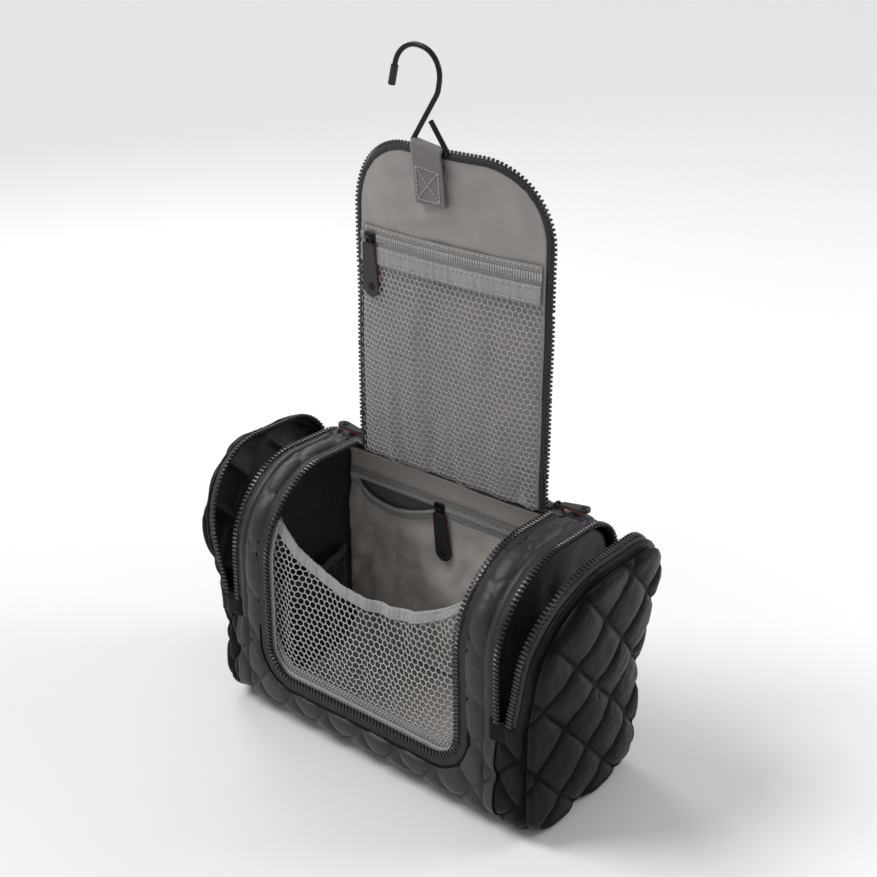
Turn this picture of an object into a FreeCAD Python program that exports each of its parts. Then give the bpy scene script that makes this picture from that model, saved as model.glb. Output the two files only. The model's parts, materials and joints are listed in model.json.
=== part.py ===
# Hanging toiletry bag, standing open: a D-shaped quilted body with an end pocket at each side, a flap that
# stands up from its back edge, and a wire hook in a webbing loop at the flap's top.
# Millimetres. The origin is the middle of the base on the ground: +X right, +Y back, +Z up.
import FreeCAD, Part
import math
import os
from FreeCAD import Placement, Rotation, Vector

DIMENSIONS = {
    # Cross-section of the body, seen along X.
    "front_y": -64, "back_y": 56, "height": 182,
    "shoulder_radius": 60, "crown_radius": 26, "heel_radius": 20, "toe_radius": 24,
    "wall": 3, "lining": 1, "sheet_gap": 0.3,
    # Length of the body: the main opening, the central compartment, the end pockets.
    "opening_half": 86, "central_half": 115, "end_half": 142, "divider": 2,
    "track_width": 3, "track_thick": 2.6, "seam_z": 24, "sill_z": 38,
    "stop_z": 85, "cover_gap": 0.3, "tab_height": 13,
    "right_open_deg": 10, "left_open_deg": 14,
    # Flap: four lengths from the hinge up, each hinged to the one below by its own fabric.
    "hinge_y": 30, "flap_half": 80, "flap_thick": 3.5, "flap_inner": 1.5, "flap_corner": 50,
    "flap_length1": 52, "flap_length2": 54, "flap_length3": 62, "flap_length4": 59,
    "fold_gap": 2.4, "layer_clear": 1.2, "top_bulge": 5.6, "mesh": 1, "tape": 1.3,
    "pocket_zip_z": 339, "pocket_zip_half": 72, "binding_z": 318, "binding_height": 8,
    # Pockets inside the main compartment.
    "front_mesh_inset": 6.5, "front_mesh_half": 81, "front_mesh_top": 122,
    "back_zip_z": 141, "back_zip_half": 100,
    "inner_pocket_depth": 12, "inner_pocket_low": 5.5, "inner_pocket_top": 92, "inner_pocket_edge": 16, "inner_pocket_wall": 1.5,
    # Hook, drawn across and up from the middle of its bar, and its webbing loop.
    "hook_x": -7, "hook_y": 18, "hook_bar_z": 409.9, "hook_lean_deg": 9.2,
    "wire_radius": 1.7, "crook_radius": 17.6, "crook_bend": 17.1, "tip_splay": 1.9, "throat_radius": 14, "foot_radius": 2,
    "shaft_x": 0.3, "crook_top": 60.1, "throat_z": 36, "bar_half": 15.6,
    "tip_z": 32.2, "leg_end_x": -2.6, "leg_end_z": 17.5,
    "cap_radius": 2.4, "cap_length": 12.5, "cap_end": 1.5,
    "loop_width": 21.4, "loop_shift": -1, "loop_length": 41, "webbing": 1.4, "eye_gap": 0.3,
    # Zip sliders and their leather pulls.
    "slider_width": 8, "slider_length": 10, "slider_thick": 2.4, "bridge_width": 3, "bridge_height": 4.4, "bridge_inset": 1,
    "pull_width": 10, "pull_length": 42, "short_pull": 26, "pull_thick": 2.2, "pull_gap": 0.8,
    "rivet_radius": 2.6, "rivet_height": 2.9, "rivet_set": 1,
    "flap_slider_x": -64, "back_slider_x": -24, "main_slider_y": 37, "end_slider_z": 92,
}

document = FreeCAD.newDocument("toiletry_bag")
sheet = document.addObject("Spreadsheet::Sheet", "dims")
for row, (alias, number) in enumerate(DIMENSIONS.items(), start=1):
    sheet.set(f"A{row}", alias)
    sheet.set(f"B{row}", str(number))
    sheet.setAlias(f"B{row}", alias)
document.recompute()

size = {alias: float(sheet.get(alias)) for alias in DIMENSIONS}
sub_parts = []


# ---- helpers -------------------------------------------------------------------------------------------------

def keep(thing, label):
    """Gives a finished sub-part its label, which names its file."""
    thing.Label = label
    sub_parts.append(thing)
    return thing


def bind_place(thing, place):
    """Ties a sub-part's position to the sheet: three expressions, for X, Y and Z."""
    for axis, expression in zip("xyz", place):
        thing.setExpression(f"Placement.Base.{axis}", expression)


def draw(body, role, name, outline):
    """A sketch on one of the body's own origin planes. An outline is a list of lines (2 points) and arcs (3)."""
    sketch = body.newObject("Sketcher::SketchObject", name)
    plane = [feature for feature in body.Origin.OriginFeatures if feature.Role == role][0]
    sketch.AttachmentSupport = [(plane, "")]
    sketch.MapMode = "FlatFace"
    edges = []
    for points in outline:
        ends = [Vector(u, v, 0) for u, v in points]
        edges.append(Part.LineSegment(*ends) if len(ends) == 2 else Part.Arc(*ends))
    sketch.addGeometry(edges, False)
    return sketch


def padded_body(label, role, pads, place=("0", "0", "0"), reverse=False, hollow=None):
    """A body of pads that all start on one origin plane: a list of (outline, length expression).

    hollow is a pocket in it: (outline, length expression, expression for how far from the plane it starts).
    """
    body = document.addObject("PartDesign::Body", label + "_body")
    body.AllowCompound = True
    for number, (outline, length) in enumerate(pads, start=1):
        pad = body.newObject("PartDesign::Pad", f"{label}_pad{number}")
        pad.Profile = draw(body, role, f"{label}_sketch{number}", outline)
        pad.Reversed = reverse
        body.Tip = pad
        pad.setExpression("Length", length)
    document.recompute()
    if hollow:
        before = body.Shape.Volume
        outline, length, start = hollow
        sketch = draw(body, role, label + "_hollow", outline)
        sketch.setExpression("AttachmentOffset.Base.z", start)
        cut = body.newObject("PartDesign::Pocket", label + "_pocket")
        cut.Profile = sketch
        cut.Reversed = True
        body.Tip = cut
        cut.setExpression("Length", length)
        document.recompute()
        if body.Shape.Volume > before - 1:
            raise ValueError(f"{label}: its hollow cuts nothing")
    bind_place(body, place)
    return keep(body, label)


def block(label, dimensions, place):
    """A plain box: three expressions for its sides and three for its lowest corner."""
    box = document.addObject("Part::Box", label + "_box")
    for name, expression in zip(("Length", "Width", "Height"), dimensions):
        box.setExpression(name, expression)
    bind_place(box, place)
    return keep(box, label)


def rectangle(left, low, right, high):
    corners = [(left, low), (right, low), (right, high), (left, high)]
    return [(corners[i], corners[(i + 1) % 4]) for i in range(4)]


def circle(centre_u, centre_v, radius):
    west, east = (centre_u - radius, centre_v), (centre_u + radius, centre_v)
    south, north = (centre_u, centre_v - radius), (centre_u, centre_v + radius)
    return [(west, south, east), (east, north, west)]


# The body's cross-section: four straight sides and four round corners, walked front, top, back, bottom.
SIDES = ("front", "top", "back", "bottom")
CORNERS = {
    "front": (size["front_y"] + size["shoulder_radius"], size["height"] - size["shoulder_radius"],
              size["shoulder_radius"], 180),
    "top": (size["back_y"] - size["crown_radius"], size["height"] - size["crown_radius"], size["crown_radius"], 90),
    "back": (size["back_y"] - size["heel_radius"], size["heel_radius"], size["heel_radius"], 0),
    "bottom": (size["front_y"] + size["toe_radius"], size["toe_radius"], size["toe_radius"], -90),
}


def side_point(side, along, inset):
    return {
        "front": (size["front_y"] + inset, along),
        "top": (along, size["height"] - inset),
        "back": (size["back_y"] - inset, along),
        "bottom": (along, inset),
    }[side]


def corner_arc(side, inset):
    """The round corner that follows a side, as three points."""
    centre_y, centre_z, radius, start = CORNERS[side]
    angles = [math.radians(start - turn) for turn in (0, 45, 90)]
    return tuple((centre_y + (radius - inset) * math.cos(a), centre_z + (radius - inset) * math.sin(a))
                 for a in angles)


def walk(inset, start, end):
    """The cross-section's line from start to end, each (side, coordinate), with inset inside the outer face."""
    side, along = start
    here = side_point(side, along, inset)
    path = []
    while side != end[0]:
        arc = corner_arc(side, inset)
        path += [(here, arc[0]), arc]
        here = arc[2]
        side = SIDES[(SIDES.index(side) + 1) % 4]
    path.append((here, side_point(side, end[1], inset)))
    return [piece for piece in path if math.dist(piece[0], piece[-1]) > 1e-6]


def band(outer, inner, start, end):
    """A closed outline between two insets of the cross-section."""
    there = walk(outer, start, end)
    back = [tuple(reversed(piece)) for piece in reversed(walk(inner, start, end))]
    return there + [(there[-1][-1], back[0][0])] + back + [(back[-1][-1], there[0][0])]


def filled(inset, start, end):
    path = walk(inset, start, end)
    return path + [(path[-1][-1], path[0][0])]


def whole(inset):
    """The full cross-section, closed."""
    middle = 0.0
    return walk(inset, ("bottom", middle), ("back", size["seam_z"])) + walk(
        inset, ("back", size["seam_z"]), ("bottom", middle))


# ---- the body: base, front, back, side bands, dividers -------------------------------------------------------

seam, sill, stop = size["seam_z"], size["sill_z"], size["stop_z"]
wall, hinge_y = size["wall"], size["hinge_y"]
CENTRAL = "2 * dims.central_half"
CENTRAL_LEFT = ("-dims.central_half", "0", "0")

padded_body("base_panel", "YZ_Plane", [(band(0, wall, ("back", seam), ("front", seam)), CENTRAL)], CENTRAL_LEFT)
padded_body("back_panel", "YZ_Plane",
            [(band(0, wall, ("top", hinge_y), ("back", seam)), CENTRAL)], CENTRAL_LEFT)
block("front_panel", ("2 * dims.opening_half", "dims.wall", "dims.sill_z - dims.seam_z"),
      ("-dims.opening_half", "dims.front_y", "dims.seam_z"))

side_band = band(0, wall, ("front", seam), ("top", hinge_y))
BAND_WIDTH = "dims.central_half - dims.opening_half"
padded_body("left_side_band", "YZ_Plane", [(side_band, BAND_WIDTH)], CENTRAL_LEFT)
padded_body("right_side_band", "YZ_Plane", [(side_band, BAND_WIDTH)], ("dims.opening_half", "0", "0"))

cross_section = whole(0)
padded_body("left_divider", "YZ_Plane", [(cross_section, "dims.divider")],
            ("-dims.central_half - dims.divider", "0", "0"))
padded_body("right_divider", "YZ_Plane", [(cross_section, "dims.divider")], ("dims.central_half", "0", "0"))

# The main zip's track round the opening: up each side over the shoulder, and along the sill.
track_side = band(0, size["track_thick"], ("front", sill + size["track_width"]), ("top", hinge_y))
track_sill = rectangle(size["front_y"], sill, size["front_y"] + size["track_thick"], sill + size["track_width"])
for name, place in (("left", "-dims.opening_half"), ("right", "dims.opening_half - dims.track_width")):
    padded_body(f"main_zip_{name}_track", "YZ_Plane", [(track_side, "dims.track_width")], (place, "0", "0"))
padded_body("main_zip_sill_track", "YZ_Plane", [(track_sill, "2 * dims.opening_half")],
            ("-dims.opening_half", "0", "0"))


# ---- end pockets ---------------------------------------------------------------------------------------------

closed_at = stop + size["cover_gap"]
lower_full, lower_hollow = (filled(inset, ("back", stop), ("front", stop)) for inset in (0, wall))
upper_full, upper_hollow = (filled(inset, ("front", closed_at), ("back", closed_at)) for inset in (0, wall))
track_arch = band(0, size["track_thick"], ("front", closed_at), ("back", closed_at))

INNER_FACE = "dims.central_half + dims.divider"
POCKET_WIDTH = "dims.end_half - dims.central_half - dims.divider"
COVER_WIDTH = POCKET_WIDTH + " - 2 * dims.track_width - dims.cover_gap"
COVER_START = INNER_FACE + " + 2 * dims.track_width + dims.cover_gap"
OUTER_TRACK = INNER_FACE + " + dims.track_width + dims.cover_gap"


def on_side(side, start, width):
    """Place of a piece that spans X from start to start + width on the right, or the same mirrored."""
    return (start if side == "right" else f"-({start}) - ({width})", "0", "0")


def swing_out(body, side):
    """Leans a closed pocket cover outward about the line where its zip ends."""
    sign = 1 if side == "right" else -1
    closed = body.Placement
    for axis in "xyz":
        body.setExpression(f"Placement.Base.{axis}", None)
    lean = Rotation(Vector(0, 1, 0), sign * size[f"{side}_open_deg"])
    body.Placement = Placement(Vector(), lean, Vector(sign * size["end_half"], 0, stop)).multiply(closed)


def end_pocket(side):
    """The lower shell, which stands on the ground, the cover that leans open above it, and both zip tracks."""
    hollow_start = "0" if side == "right" else "dims.wall"
    padded_body(f"{side}_end_base", "YZ_Plane", [(lower_full, POCKET_WIDTH)],
                on_side(side, INNER_FACE, POCKET_WIDTH),
                hollow=(lower_hollow, POCKET_WIDTH + " - dims.wall", hollow_start))
    padded_body(f"{side}_end_inner_track", "YZ_Plane", [(track_arch, "dims.track_width")],
                on_side(side, INNER_FACE, "dims.track_width"))
    cover = padded_body(f"{side}_end_cover", "YZ_Plane", [(upper_full, COVER_WIDTH)],
                        on_side(side, COVER_START, COVER_WIDTH),
                        hollow=(upper_hollow, COVER_WIDTH + " - dims.wall", hollow_start))
    track = padded_body(f"{side}_end_outer_track", "YZ_Plane", [(track_arch, "dims.track_width")],
                        on_side(side, OUTER_TRACK, "dims.track_width"))
    document.recompute()
    swing_out(cover, side)
    swing_out(track, side)


for side in ("left", "right"):
    end_pocket(side)

# Fabric tabs over the ends of the end-pocket zips, front and back.
end_tabs = []
for side in ("left", "right"):
    for place in ("dims.front_y - dims.tape", "dims.back_y"):
        tab = document.addObject("Part::Box", "end_tab")
        for name, expression in (("Length", "2 * dims.track_width"), ("Width", "dims.tape"),
                                 ("Height", "dims.tab_height")):
            tab.setExpression(name, expression)
        bind_place(tab, (on_side(side, INNER_FACE, "2 * dims.track_width")[0], place,
                         "dims.stop_z - dims.tab_height"))
        end_tabs.append(tab)
all_tabs = document.addObject("Part::Compound", "zip_end_tabs_group")
all_tabs.Links = end_tabs
keep(all_tabs, "zip_end_tabs")


# ---- linings and pockets inside ------------------------------------------------------------------------------

BASE_DEPTH = "dims.back_y - dims.heel_radius - dims.front_y - dims.toe_radius"
LINING_BACK = "dims.back_y - dims.wall - dims.lining"
MESH_FRONT = "dims.front_y + dims.front_mesh_inset"
block("base_lining", ("2 * dims.central_half", BASE_DEPTH, "dims.lining"),
      ("-dims.central_half", "dims.front_y + dims.toe_radius", "dims.wall"))
block("back_lining", ("2 * dims.central_half", "dims.lining", "dims.height - dims.crown_radius - dims.seam_z"),
      ("-dims.central_half", LINING_BACK, "dims.seam_z"))
block("back_pocket_zip", ("2 * dims.back_zip_half", "dims.tape", "2 * dims.track_width"),
      ("-dims.back_zip_half", LINING_BACK + " - dims.tape", "dims.back_zip_z"))
block("front_mesh_pocket", ("2 * dims.front_mesh_half", "dims.mesh", "dims.front_mesh_top - dims.sill_z"),
      ("-dims.front_mesh_half", MESH_FRONT, "dims.sill_z"))
block("front_mesh_binding", ("2 * dims.front_mesh_half", "2 * dims.mesh", "dims.binding_height"),
      ("-dims.front_mesh_half", MESH_FRONT, "dims.front_mesh_top"))

# Gathered pockets on both end walls of the main compartment, open at the top.
pocket_low, pocket_high = size["inner_pocket_low"], size["inner_pocket_top"]
pocket_y0, pocket_y1 = size["front_y"] + size["inner_pocket_edge"], size["back_y"] - size["inner_pocket_edge"]
pocket_wall = size["inner_pocket_wall"]
pocket_block = rectangle(pocket_y0, pocket_low, pocket_y1, pocket_high)
pocket_hollow = rectangle(pocket_y0 + pocket_wall, pocket_low + pocket_wall, pocket_y1 - pocket_wall,
                          pocket_high + 1)
for side, start, hollow_start in (("left", "-dims.central_half", "0"),
                                  ("right", "dims.central_half - dims.inner_pocket_depth",
                                   "dims.inner_pocket_wall")):
    padded_body(f"{side}_inner_pocket", "YZ_Plane", [(pocket_block, "dims.inner_pocket_depth")],
                (start, "0", "0"),
                hollow=(pocket_hollow, "dims.inner_pocket_depth - dims.inner_pocket_wall", hollow_start))


# ---- flap ----------------------------------------------------------------------------------------------------

flap_lengths = [size[f"flap_length{number}"] for number in (1, 2, 3, 4)]
flap_joints = [size["height"] + sum(flap_lengths[:number]) for number in range(5)]
half_gap = size["fold_gap"] / 2
edge = size["flap_half"]
rim = size["track_width"]


def arched_outline(half, low, high, corner):
    """An upright panel with rounded top corners: bottom edge first, then round to the left."""
    slant = corner * (1 - math.sqrt(0.5))
    right_arc = ((half, high - corner), (half - slant, high - slant), (half - corner, high))
    left_arc = tuple((-u, v) for u, v in reversed(right_arc))
    return [((-half, low), (half, low)), ((half, low), right_arc[0]), right_arc,
            (right_arc[2], left_arc[0]), left_arc, (left_arc[2], (-half, low))]


def rim_outline(half, low, high, corner, width):
    """The strip round both sides and the top of such a panel."""
    outside = arched_outline(half, low, high, corner)[1:]
    inside = arched_outline(half - width, low, high - width, corner - width)[1:]
    inside = [tuple(reversed(piece)) for piece in reversed(inside)]
    return outside + [((-half, low), (width - half, low))] + inside + [((half - width, low), (half, low))]


PANEL_BACK = "dims.hinge_y + dims.flap_thick - dims.flap_inner"
LINING_FRONT = "dims.hinge_y - dims.flap_inner - dims.sheet_gap"
MESH_BACK = LINING_FRONT + " - dims.lining - dims.sheet_gap"
for number in (1, 2, 3, 4):
    low = flap_joints[number - 1] + half_gap
    high = flap_joints[number] - half_gap
    layer_low = low + size["layer_clear"]
    layer_high = high - size["layer_clear"]
    if number < 4:
        panel = rectangle(rim - edge, low, edge - rim, high)
        track = rectangle(-edge, low, rim - edge, high) + rectangle(edge - rim, low, edge, high)
        lining = rectangle(rim - edge, layer_low, edge - rim, layer_high)
        lining_thick = "dims.lining"
    else:
        high = flap_joints[number]
        corner = size["flap_corner"]
        panel = arched_outline(edge - rim, low, high - rim, corner - rim)
        track = rim_outline(edge, low, high, corner, rim)
        lining = arched_outline(edge - rim, layer_low, high - rim, corner - rim)
        lining_thick = "dims.top_bulge"
    padded_body(f"flap_panel_{number}", "XZ_Plane", [(panel, "dims.flap_thick")], ("0", PANEL_BACK, "0"))
    padded_body(f"flap_track_{number}", "XZ_Plane", [(track, "dims.track_thick")], ("0", PANEL_BACK, "0"))
    padded_body(f"flap_lining_{number}", "XZ_Plane", [(lining, lining_thick)], ("0", LINING_FRONT, "0"))
    if number < 4:
        mesh_high = min(layer_high, size["binding_z"])
        mesh = rectangle(rim - edge, layer_low, edge - rim, mesh_high)
        padded_body(f"flap_mesh_{number}", "XZ_Plane", [(mesh, "dims.mesh")], ("0", MESH_BACK, "0"))

POCKET_ZIP_SIZE = ("2 * dims.pocket_zip_half", "dims.tape", "2 * dims.track_width")
block("flap_pocket_zip", POCKET_ZIP_SIZE,
      ("-dims.pocket_zip_half", MESH_BACK + " - dims.tape", "dims.pocket_zip_z"))
block("flap_pocket_binding", ("2 * (dims.flap_half - dims.track_width)", "dims.mesh", "dims.binding_height"),
      ("dims.track_width - dims.flap_half", MESH_BACK + " - dims.mesh", "dims.binding_z"))


# ---- hook and its loop ---------------------------------------------------------------------------------------

bar = Vector(size["hook_x"], size["hook_y"], size["hook_bar_z"])
lean = math.radians(size["hook_lean_deg"])


def in_hook_plane(across, up):
    """A point of the hook: across and up from the middle of its bar, which leans down to the right."""
    return bar + Vector(across * math.cos(lean) + up * math.sin(lean), 0,
                        up * math.cos(lean) - across * math.sin(lean))


def rounded_route(points, radii):
    """Straight runs joined by tangent arcs, one radius for each inner point."""
    edges = []
    here = points[0]
    for before, corner, after, radius in zip(points, points[1:], points[2:], radii):
        into, away = (corner - before).normalize(), (after - corner).normalize()
        turn = into.getAngle(away)
        reach = radius * math.tan(turn / 2)
        start, end = corner - into * reach, corner + away * reach
        inward = (away - into).normalize()
        middle = corner + inward * (radius / math.cos(turn / 2) - radius)
        edges.append(Part.LineSegment(here, start).toShape())
        edges.append(Part.Arc(start, middle, end).toShape())
        here = end
    edges.append(Part.LineSegment(here, points[-1]).toShape())
    return Part.Wire(edges)


crook, throat, foot = size["crook_radius"], size["throat_radius"], size["foot_radius"]
shaft_x, crook_top, throat_z = size["shaft_x"], size["crook_top"], size["throat_z"]
bar_half = size["bar_half"]
wire_points = [
    in_hook_plane(shaft_x - 2 * crook - size["tip_splay"], size["tip_z"]),
    in_hook_plane(shaft_x - 2 * crook, crook_top),
    in_hook_plane(shaft_x, crook_top),
    in_hook_plane(shaft_x, throat_z),
    in_hook_plane(-bar_half, 0),
    in_hook_plane(bar_half, 0),
    in_hook_plane(size["leg_end_x"], size["leg_end_z"]),
]
route = document.addObject("Part::Feature", "hook_route")
route.Shape = rounded_route(wire_points, [size["crook_bend"], size["crook_bend"], throat, foot, foot])

tip = wire_points[0]
tip_direction = (wire_points[1] - wire_points[0]).normalize()
tip_turn = Rotation(Vector(0, 0, 1), tip_direction)
section = document.addObject("Part::Circle", "hook_section")
section.setExpression("Radius", "dims.wire_radius")
section.Placement = Placement(tip, tip_turn)
hook = document.addObject("Part::Sweep", "hook_sweep")
hook.Sections = [section]
hook.Spine = (route, [f"Edge{number + 1}" for number in range(len(route.Shape.Edges))])
hook.Solid = True
keep(hook, "hook_wire")

cap = document.addObject("Part::Cylinder", "cap_outside")
cap.setExpression("Radius", "dims.cap_radius")
cap.setExpression("Height", "dims.cap_length")
cap.Placement = Placement(tip - tip_direction * size["cap_end"], tip_turn)
cap_bore = document.addObject("Part::Cylinder", "cap_bore")
cap_bore.setExpression("Radius", "dims.wire_radius")
cap_bore.setExpression("Height", "dims.cap_length")
cap_bore.Placement = Placement(tip, tip_turn)
rubber_cap = document.addObject("Part::Cut", "cap_cut")
rubber_cap.Base = cap
rubber_cap.Tool = cap_bore
keep(rubber_cap, "hook_tip")

# The webbing: a flat tab stitched to the lining, folded over the hook's bar at its top.
tab = document.addObject("Part::Box", "loop_tab")
tab.setExpression("Length", "dims.loop_width")
tab.setExpression("Width", "2 * dims.webbing")
tab.setExpression("Height", "dims.loop_length")
bind_place(tab, ("dims.hook_x + dims.loop_shift - dims.loop_width / 2", "dims.hook_y + dims.wire_radius - dims.eye_gap",
                 "dims.hook_bar_z - dims.loop_length"))
bar_turn = Rotation(Vector(0, 0, 1), in_hook_plane(1, 0) - in_hook_plane(0, 0))
bar_start = in_hook_plane(size["loop_shift"] - size["loop_width"] / 2, 0)
eye_outside = document.addObject("Part::Cylinder", "loop_eye_outside")
eye_outside.setExpression("Radius", "dims.wire_radius + dims.eye_gap + dims.webbing")
eye_outside.setExpression("Height", "dims.loop_width")
eye_outside.Placement = Placement(bar_start, bar_turn)
eye_bore = document.addObject("Part::Cylinder", "loop_eye_bore")
eye_bore.setExpression("Radius", "dims.wire_radius + dims.eye_gap")
eye_bore.setExpression("Height", "2 * dims.loop_width")
eye_bore.Placement = Placement(in_hook_plane(-size["loop_width"], 0), bar_turn)
folded = document.addObject("Part::Fuse", "loop_folded")
folded.Base = tab
folded.Tool = eye_outside
loop = document.addObject("Part::Cut", "loop_cut")
loop.Base = folded
loop.Tool = eye_bore
keep(loop, "hook_loop")


# ---- zip sliders and their pulls -----------------------------------------------------------------------------

def slider(label, role, along, place, reverse=False):
    """A slider's plate with the bridge that holds its pull; along is the travel, 'u' or 'v' of the plane."""
    long, wide = size["slider_length"] / 2, size["slider_width"] / 2
    bridge, reach = size["bridge_width"] / 2, long - size["bridge_inset"]
    if along == "u":
        plate, ridge = rectangle(-long, -wide, long, wide), rectangle(-reach, -bridge, reach, bridge)
    else:
        plate, ridge = rectangle(-wide, -long, wide, long), rectangle(-bridge, -reach, bridge, reach)
    padded_body(label, role, [(plate, "dims.slider_thick"), (ridge, "dims.bridge_height")], place, reverse)


def pull(label, role, direction, length, place, reverse=False):
    """A leather strap with a round end and a rivet, drawn from its pivot in the given (u, v) direction."""
    along_u, along_v = direction
    half = size["pull_width"] / 2

    def at(along, across):
        return (along * along_u - across * along_v, along * along_v + across * along_u)

    top = -size["pull_thick"] / 2
    turn = length - half
    outline = [(at(top, half), at(top, -half)), (at(top, -half), at(turn, -half)),
               (at(turn, -half), at(length, 0), at(turn, half)), (at(turn, half), at(top, half))]
    rivet = circle(*at(turn - size["rivet_set"], 0), size["rivet_radius"])
    padded_body(label, role, [(outline, "dims.pull_thick"), (rivet, "dims.rivet_height")], place, reverse)


STRAP_OFFSET = "dims.bridge_height + dims.pull_gap"
FLAP_SLIDER_Y = MESH_BACK + " - dims.tape - dims.sheet_gap"
BACK_SLIDER_Y = LINING_BACK + " - dims.tape - dims.sheet_gap"
TOP_Z = "dims.height + dims.sheet_gap"
END_Y = "dims.back_y + dims.sheet_gap + dims.tape"
long_pull, short_pull = size["pull_length"], size["short_pull"]

for name, y, x, z in (("flap_pocket", FLAP_SLIDER_Y, "dims.flap_slider_x", "dims.pocket_zip_z + dims.track_width"),
                      ("back_pocket", BACK_SLIDER_Y, "dims.back_slider_x", "dims.back_zip_z + dims.track_width")):
    slider(f"{name}_slider", "XZ_Plane", "u", (x, y, z))
    pull(f"{name}_pull", "XZ_Plane", (0, -1), long_pull, (x, f"{y} - ({STRAP_OFFSET})", z))

for side, sign in (("left", -1), ("right", 1)):
    x = f"{sign} * (dims.opening_half - dims.track_width / 2)"
    slider(f"{side}_main_slider", "XY_Plane", "v", (x, "dims.main_slider_y", TOP_Z))
    pull(f"{side}_main_pull", "XY_Plane", (sign, 0), short_pull,
         (x, "dims.main_slider_y", f"{TOP_Z} + {STRAP_OFFSET}"))
    x = f"{sign} * ({INNER_FACE} + dims.track_width)"
    slider(f"{side}_end_slider", "XZ_Plane", "v", (x, END_Y, "dims.end_slider_z"), reverse=True)
    pull(f"{side}_end_pull", "XZ_Plane", (0, -1), short_pull,
         (x, f"{END_Y} + {STRAP_OFFSET}", "dims.end_slider_z"), reverse=True)


# ---- check and write -----------------------------------------------------------------------------------------

document.recompute()
for thing in document.Objects:
    if any(state in ("Invalid", "Error") for state in thing.State):
        raise ValueError(f"{thing.Name} failed: {thing.State}")
for part in sub_parts:
    if part.Shape.isNull() or not part.Shape.isValid() or not part.Shape.Solids:
        raise ValueError(f"{part.Label} has no valid solid")

os.makedirs("parts", exist_ok=True)
for part in sub_parts:
    part.Shape.exportStep(f"parts/{part.Label}.step")
print(f"{len(sub_parts)} sub-parts written")
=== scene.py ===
"""Hanging toiletry bag: the looks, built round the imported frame. Metres, in the frame's own axes."""

import json
import math

import bpy
import numpy as np
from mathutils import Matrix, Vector


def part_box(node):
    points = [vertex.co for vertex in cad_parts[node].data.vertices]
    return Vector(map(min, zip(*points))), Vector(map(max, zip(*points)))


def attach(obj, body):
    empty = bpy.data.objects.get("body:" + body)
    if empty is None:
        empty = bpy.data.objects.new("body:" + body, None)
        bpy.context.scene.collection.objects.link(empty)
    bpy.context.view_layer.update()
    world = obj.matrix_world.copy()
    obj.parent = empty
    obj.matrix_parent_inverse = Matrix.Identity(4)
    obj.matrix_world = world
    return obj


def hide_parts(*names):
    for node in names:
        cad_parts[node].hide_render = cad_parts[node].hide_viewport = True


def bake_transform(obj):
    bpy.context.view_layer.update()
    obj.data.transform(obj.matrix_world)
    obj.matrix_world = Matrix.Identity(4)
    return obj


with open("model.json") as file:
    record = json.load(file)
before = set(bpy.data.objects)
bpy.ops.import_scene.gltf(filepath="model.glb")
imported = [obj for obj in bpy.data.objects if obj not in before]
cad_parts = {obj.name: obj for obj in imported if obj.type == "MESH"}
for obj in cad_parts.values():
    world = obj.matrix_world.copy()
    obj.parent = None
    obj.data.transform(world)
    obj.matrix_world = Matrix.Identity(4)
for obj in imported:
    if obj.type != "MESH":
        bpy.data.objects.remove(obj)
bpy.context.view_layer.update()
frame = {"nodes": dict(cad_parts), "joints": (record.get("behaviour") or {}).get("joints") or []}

MM = 0.001
SIDES = (("left", -1), ("right", 1))
TOWARDS_FRONT = (0, -1, 0)
JOINTS = {joint["name"]: joint for joint in frame["joints"]}


# ---- sizes, read from the frame --------------------------------------------------------------------------

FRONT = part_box("base_panel")[0].y
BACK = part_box("base_panel")[1].y
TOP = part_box("back_panel")[1].z
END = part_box("right_end_base")[1].x
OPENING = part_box("front_panel")[1].x
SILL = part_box("main_zip_sill_track")[0].z
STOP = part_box("right_end_base")[1].z
HINGE = Vector(JOINTS["flap_hinge"]["pos_m"])
FOLDS = [HINGE.z] + [JOINTS[f"flap_fold_{number}"]["pos_m"][2] for number in (2, 3, 4)]
FLAP_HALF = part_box("flap_track_1")[1].x
FLAP_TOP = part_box("flap_track_4")[1].z
FLAP_CORNER = 50 * MM

SHOULDER, CROWN, HEEL, TOE = 60 * MM, BACK - HINGE.y, 20 * MM, 24 * MM
OPENING_CORNER = 22 * MM
DIAMOND_W, DIAMOND_H = 33 * MM, 36 * MM
TAPE = 7.5 * MM


# ---- small numeric helpers -------------------------------------------------------------------------------

def smooth(value, low, high):
    share = np.clip((np.asarray(value, float) - low) / (high - low), 0, 1)
    return share * share * (3 - 2 * share)


def lattice_value(i, j, k, seed):
    """A repeatable number from -1 to 1 for each lattice point."""
    mixed = (i * 73856093) ^ (j * 19349663) ^ (k * 83492791) ^ (seed * 2654435761)
    mixed = (mixed ^ (mixed >> 13)) * 1274126177
    mixed = (mixed ^ (mixed >> 16)) & 0xFFFFF
    return mixed / float(0xFFFFF) * 2 - 1


def noise(points, cell, seed=0):
    """Smooth noise from -1 to 1; cell is its grain in metres, one number or one for each axis."""
    scaled = np.asarray(points, float) / np.asarray(cell, float) + 1000.0
    base = np.floor(scaled).astype(np.int64)
    part = scaled - base
    part = part * part * (3 - 2 * part)
    total = 0.0
    for corner in range(8):
        step = [(corner >> axis) & 1 for axis in range(3)]
        weight = 1.0
        for axis in range(3):
            weight = weight * (part[..., axis] if step[axis] else 1 - part[..., axis])
        total = total + weight * lattice_value(*(base[..., axis] + step[axis] for axis in range(3)), seed)
    return total


def uvw(u, v, w=0.0):
    return np.stack(np.broadcast_arrays(u, v, w), axis=-1)


def cloth_noise(u, v, grain_u, grain_v, seed):
    """Smooth noise over a cloth's own u and v, with its grain along each in millimetres."""
    return noise(uvw(u, v), (grain_u * MM, grain_v * MM, 1), seed)


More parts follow.
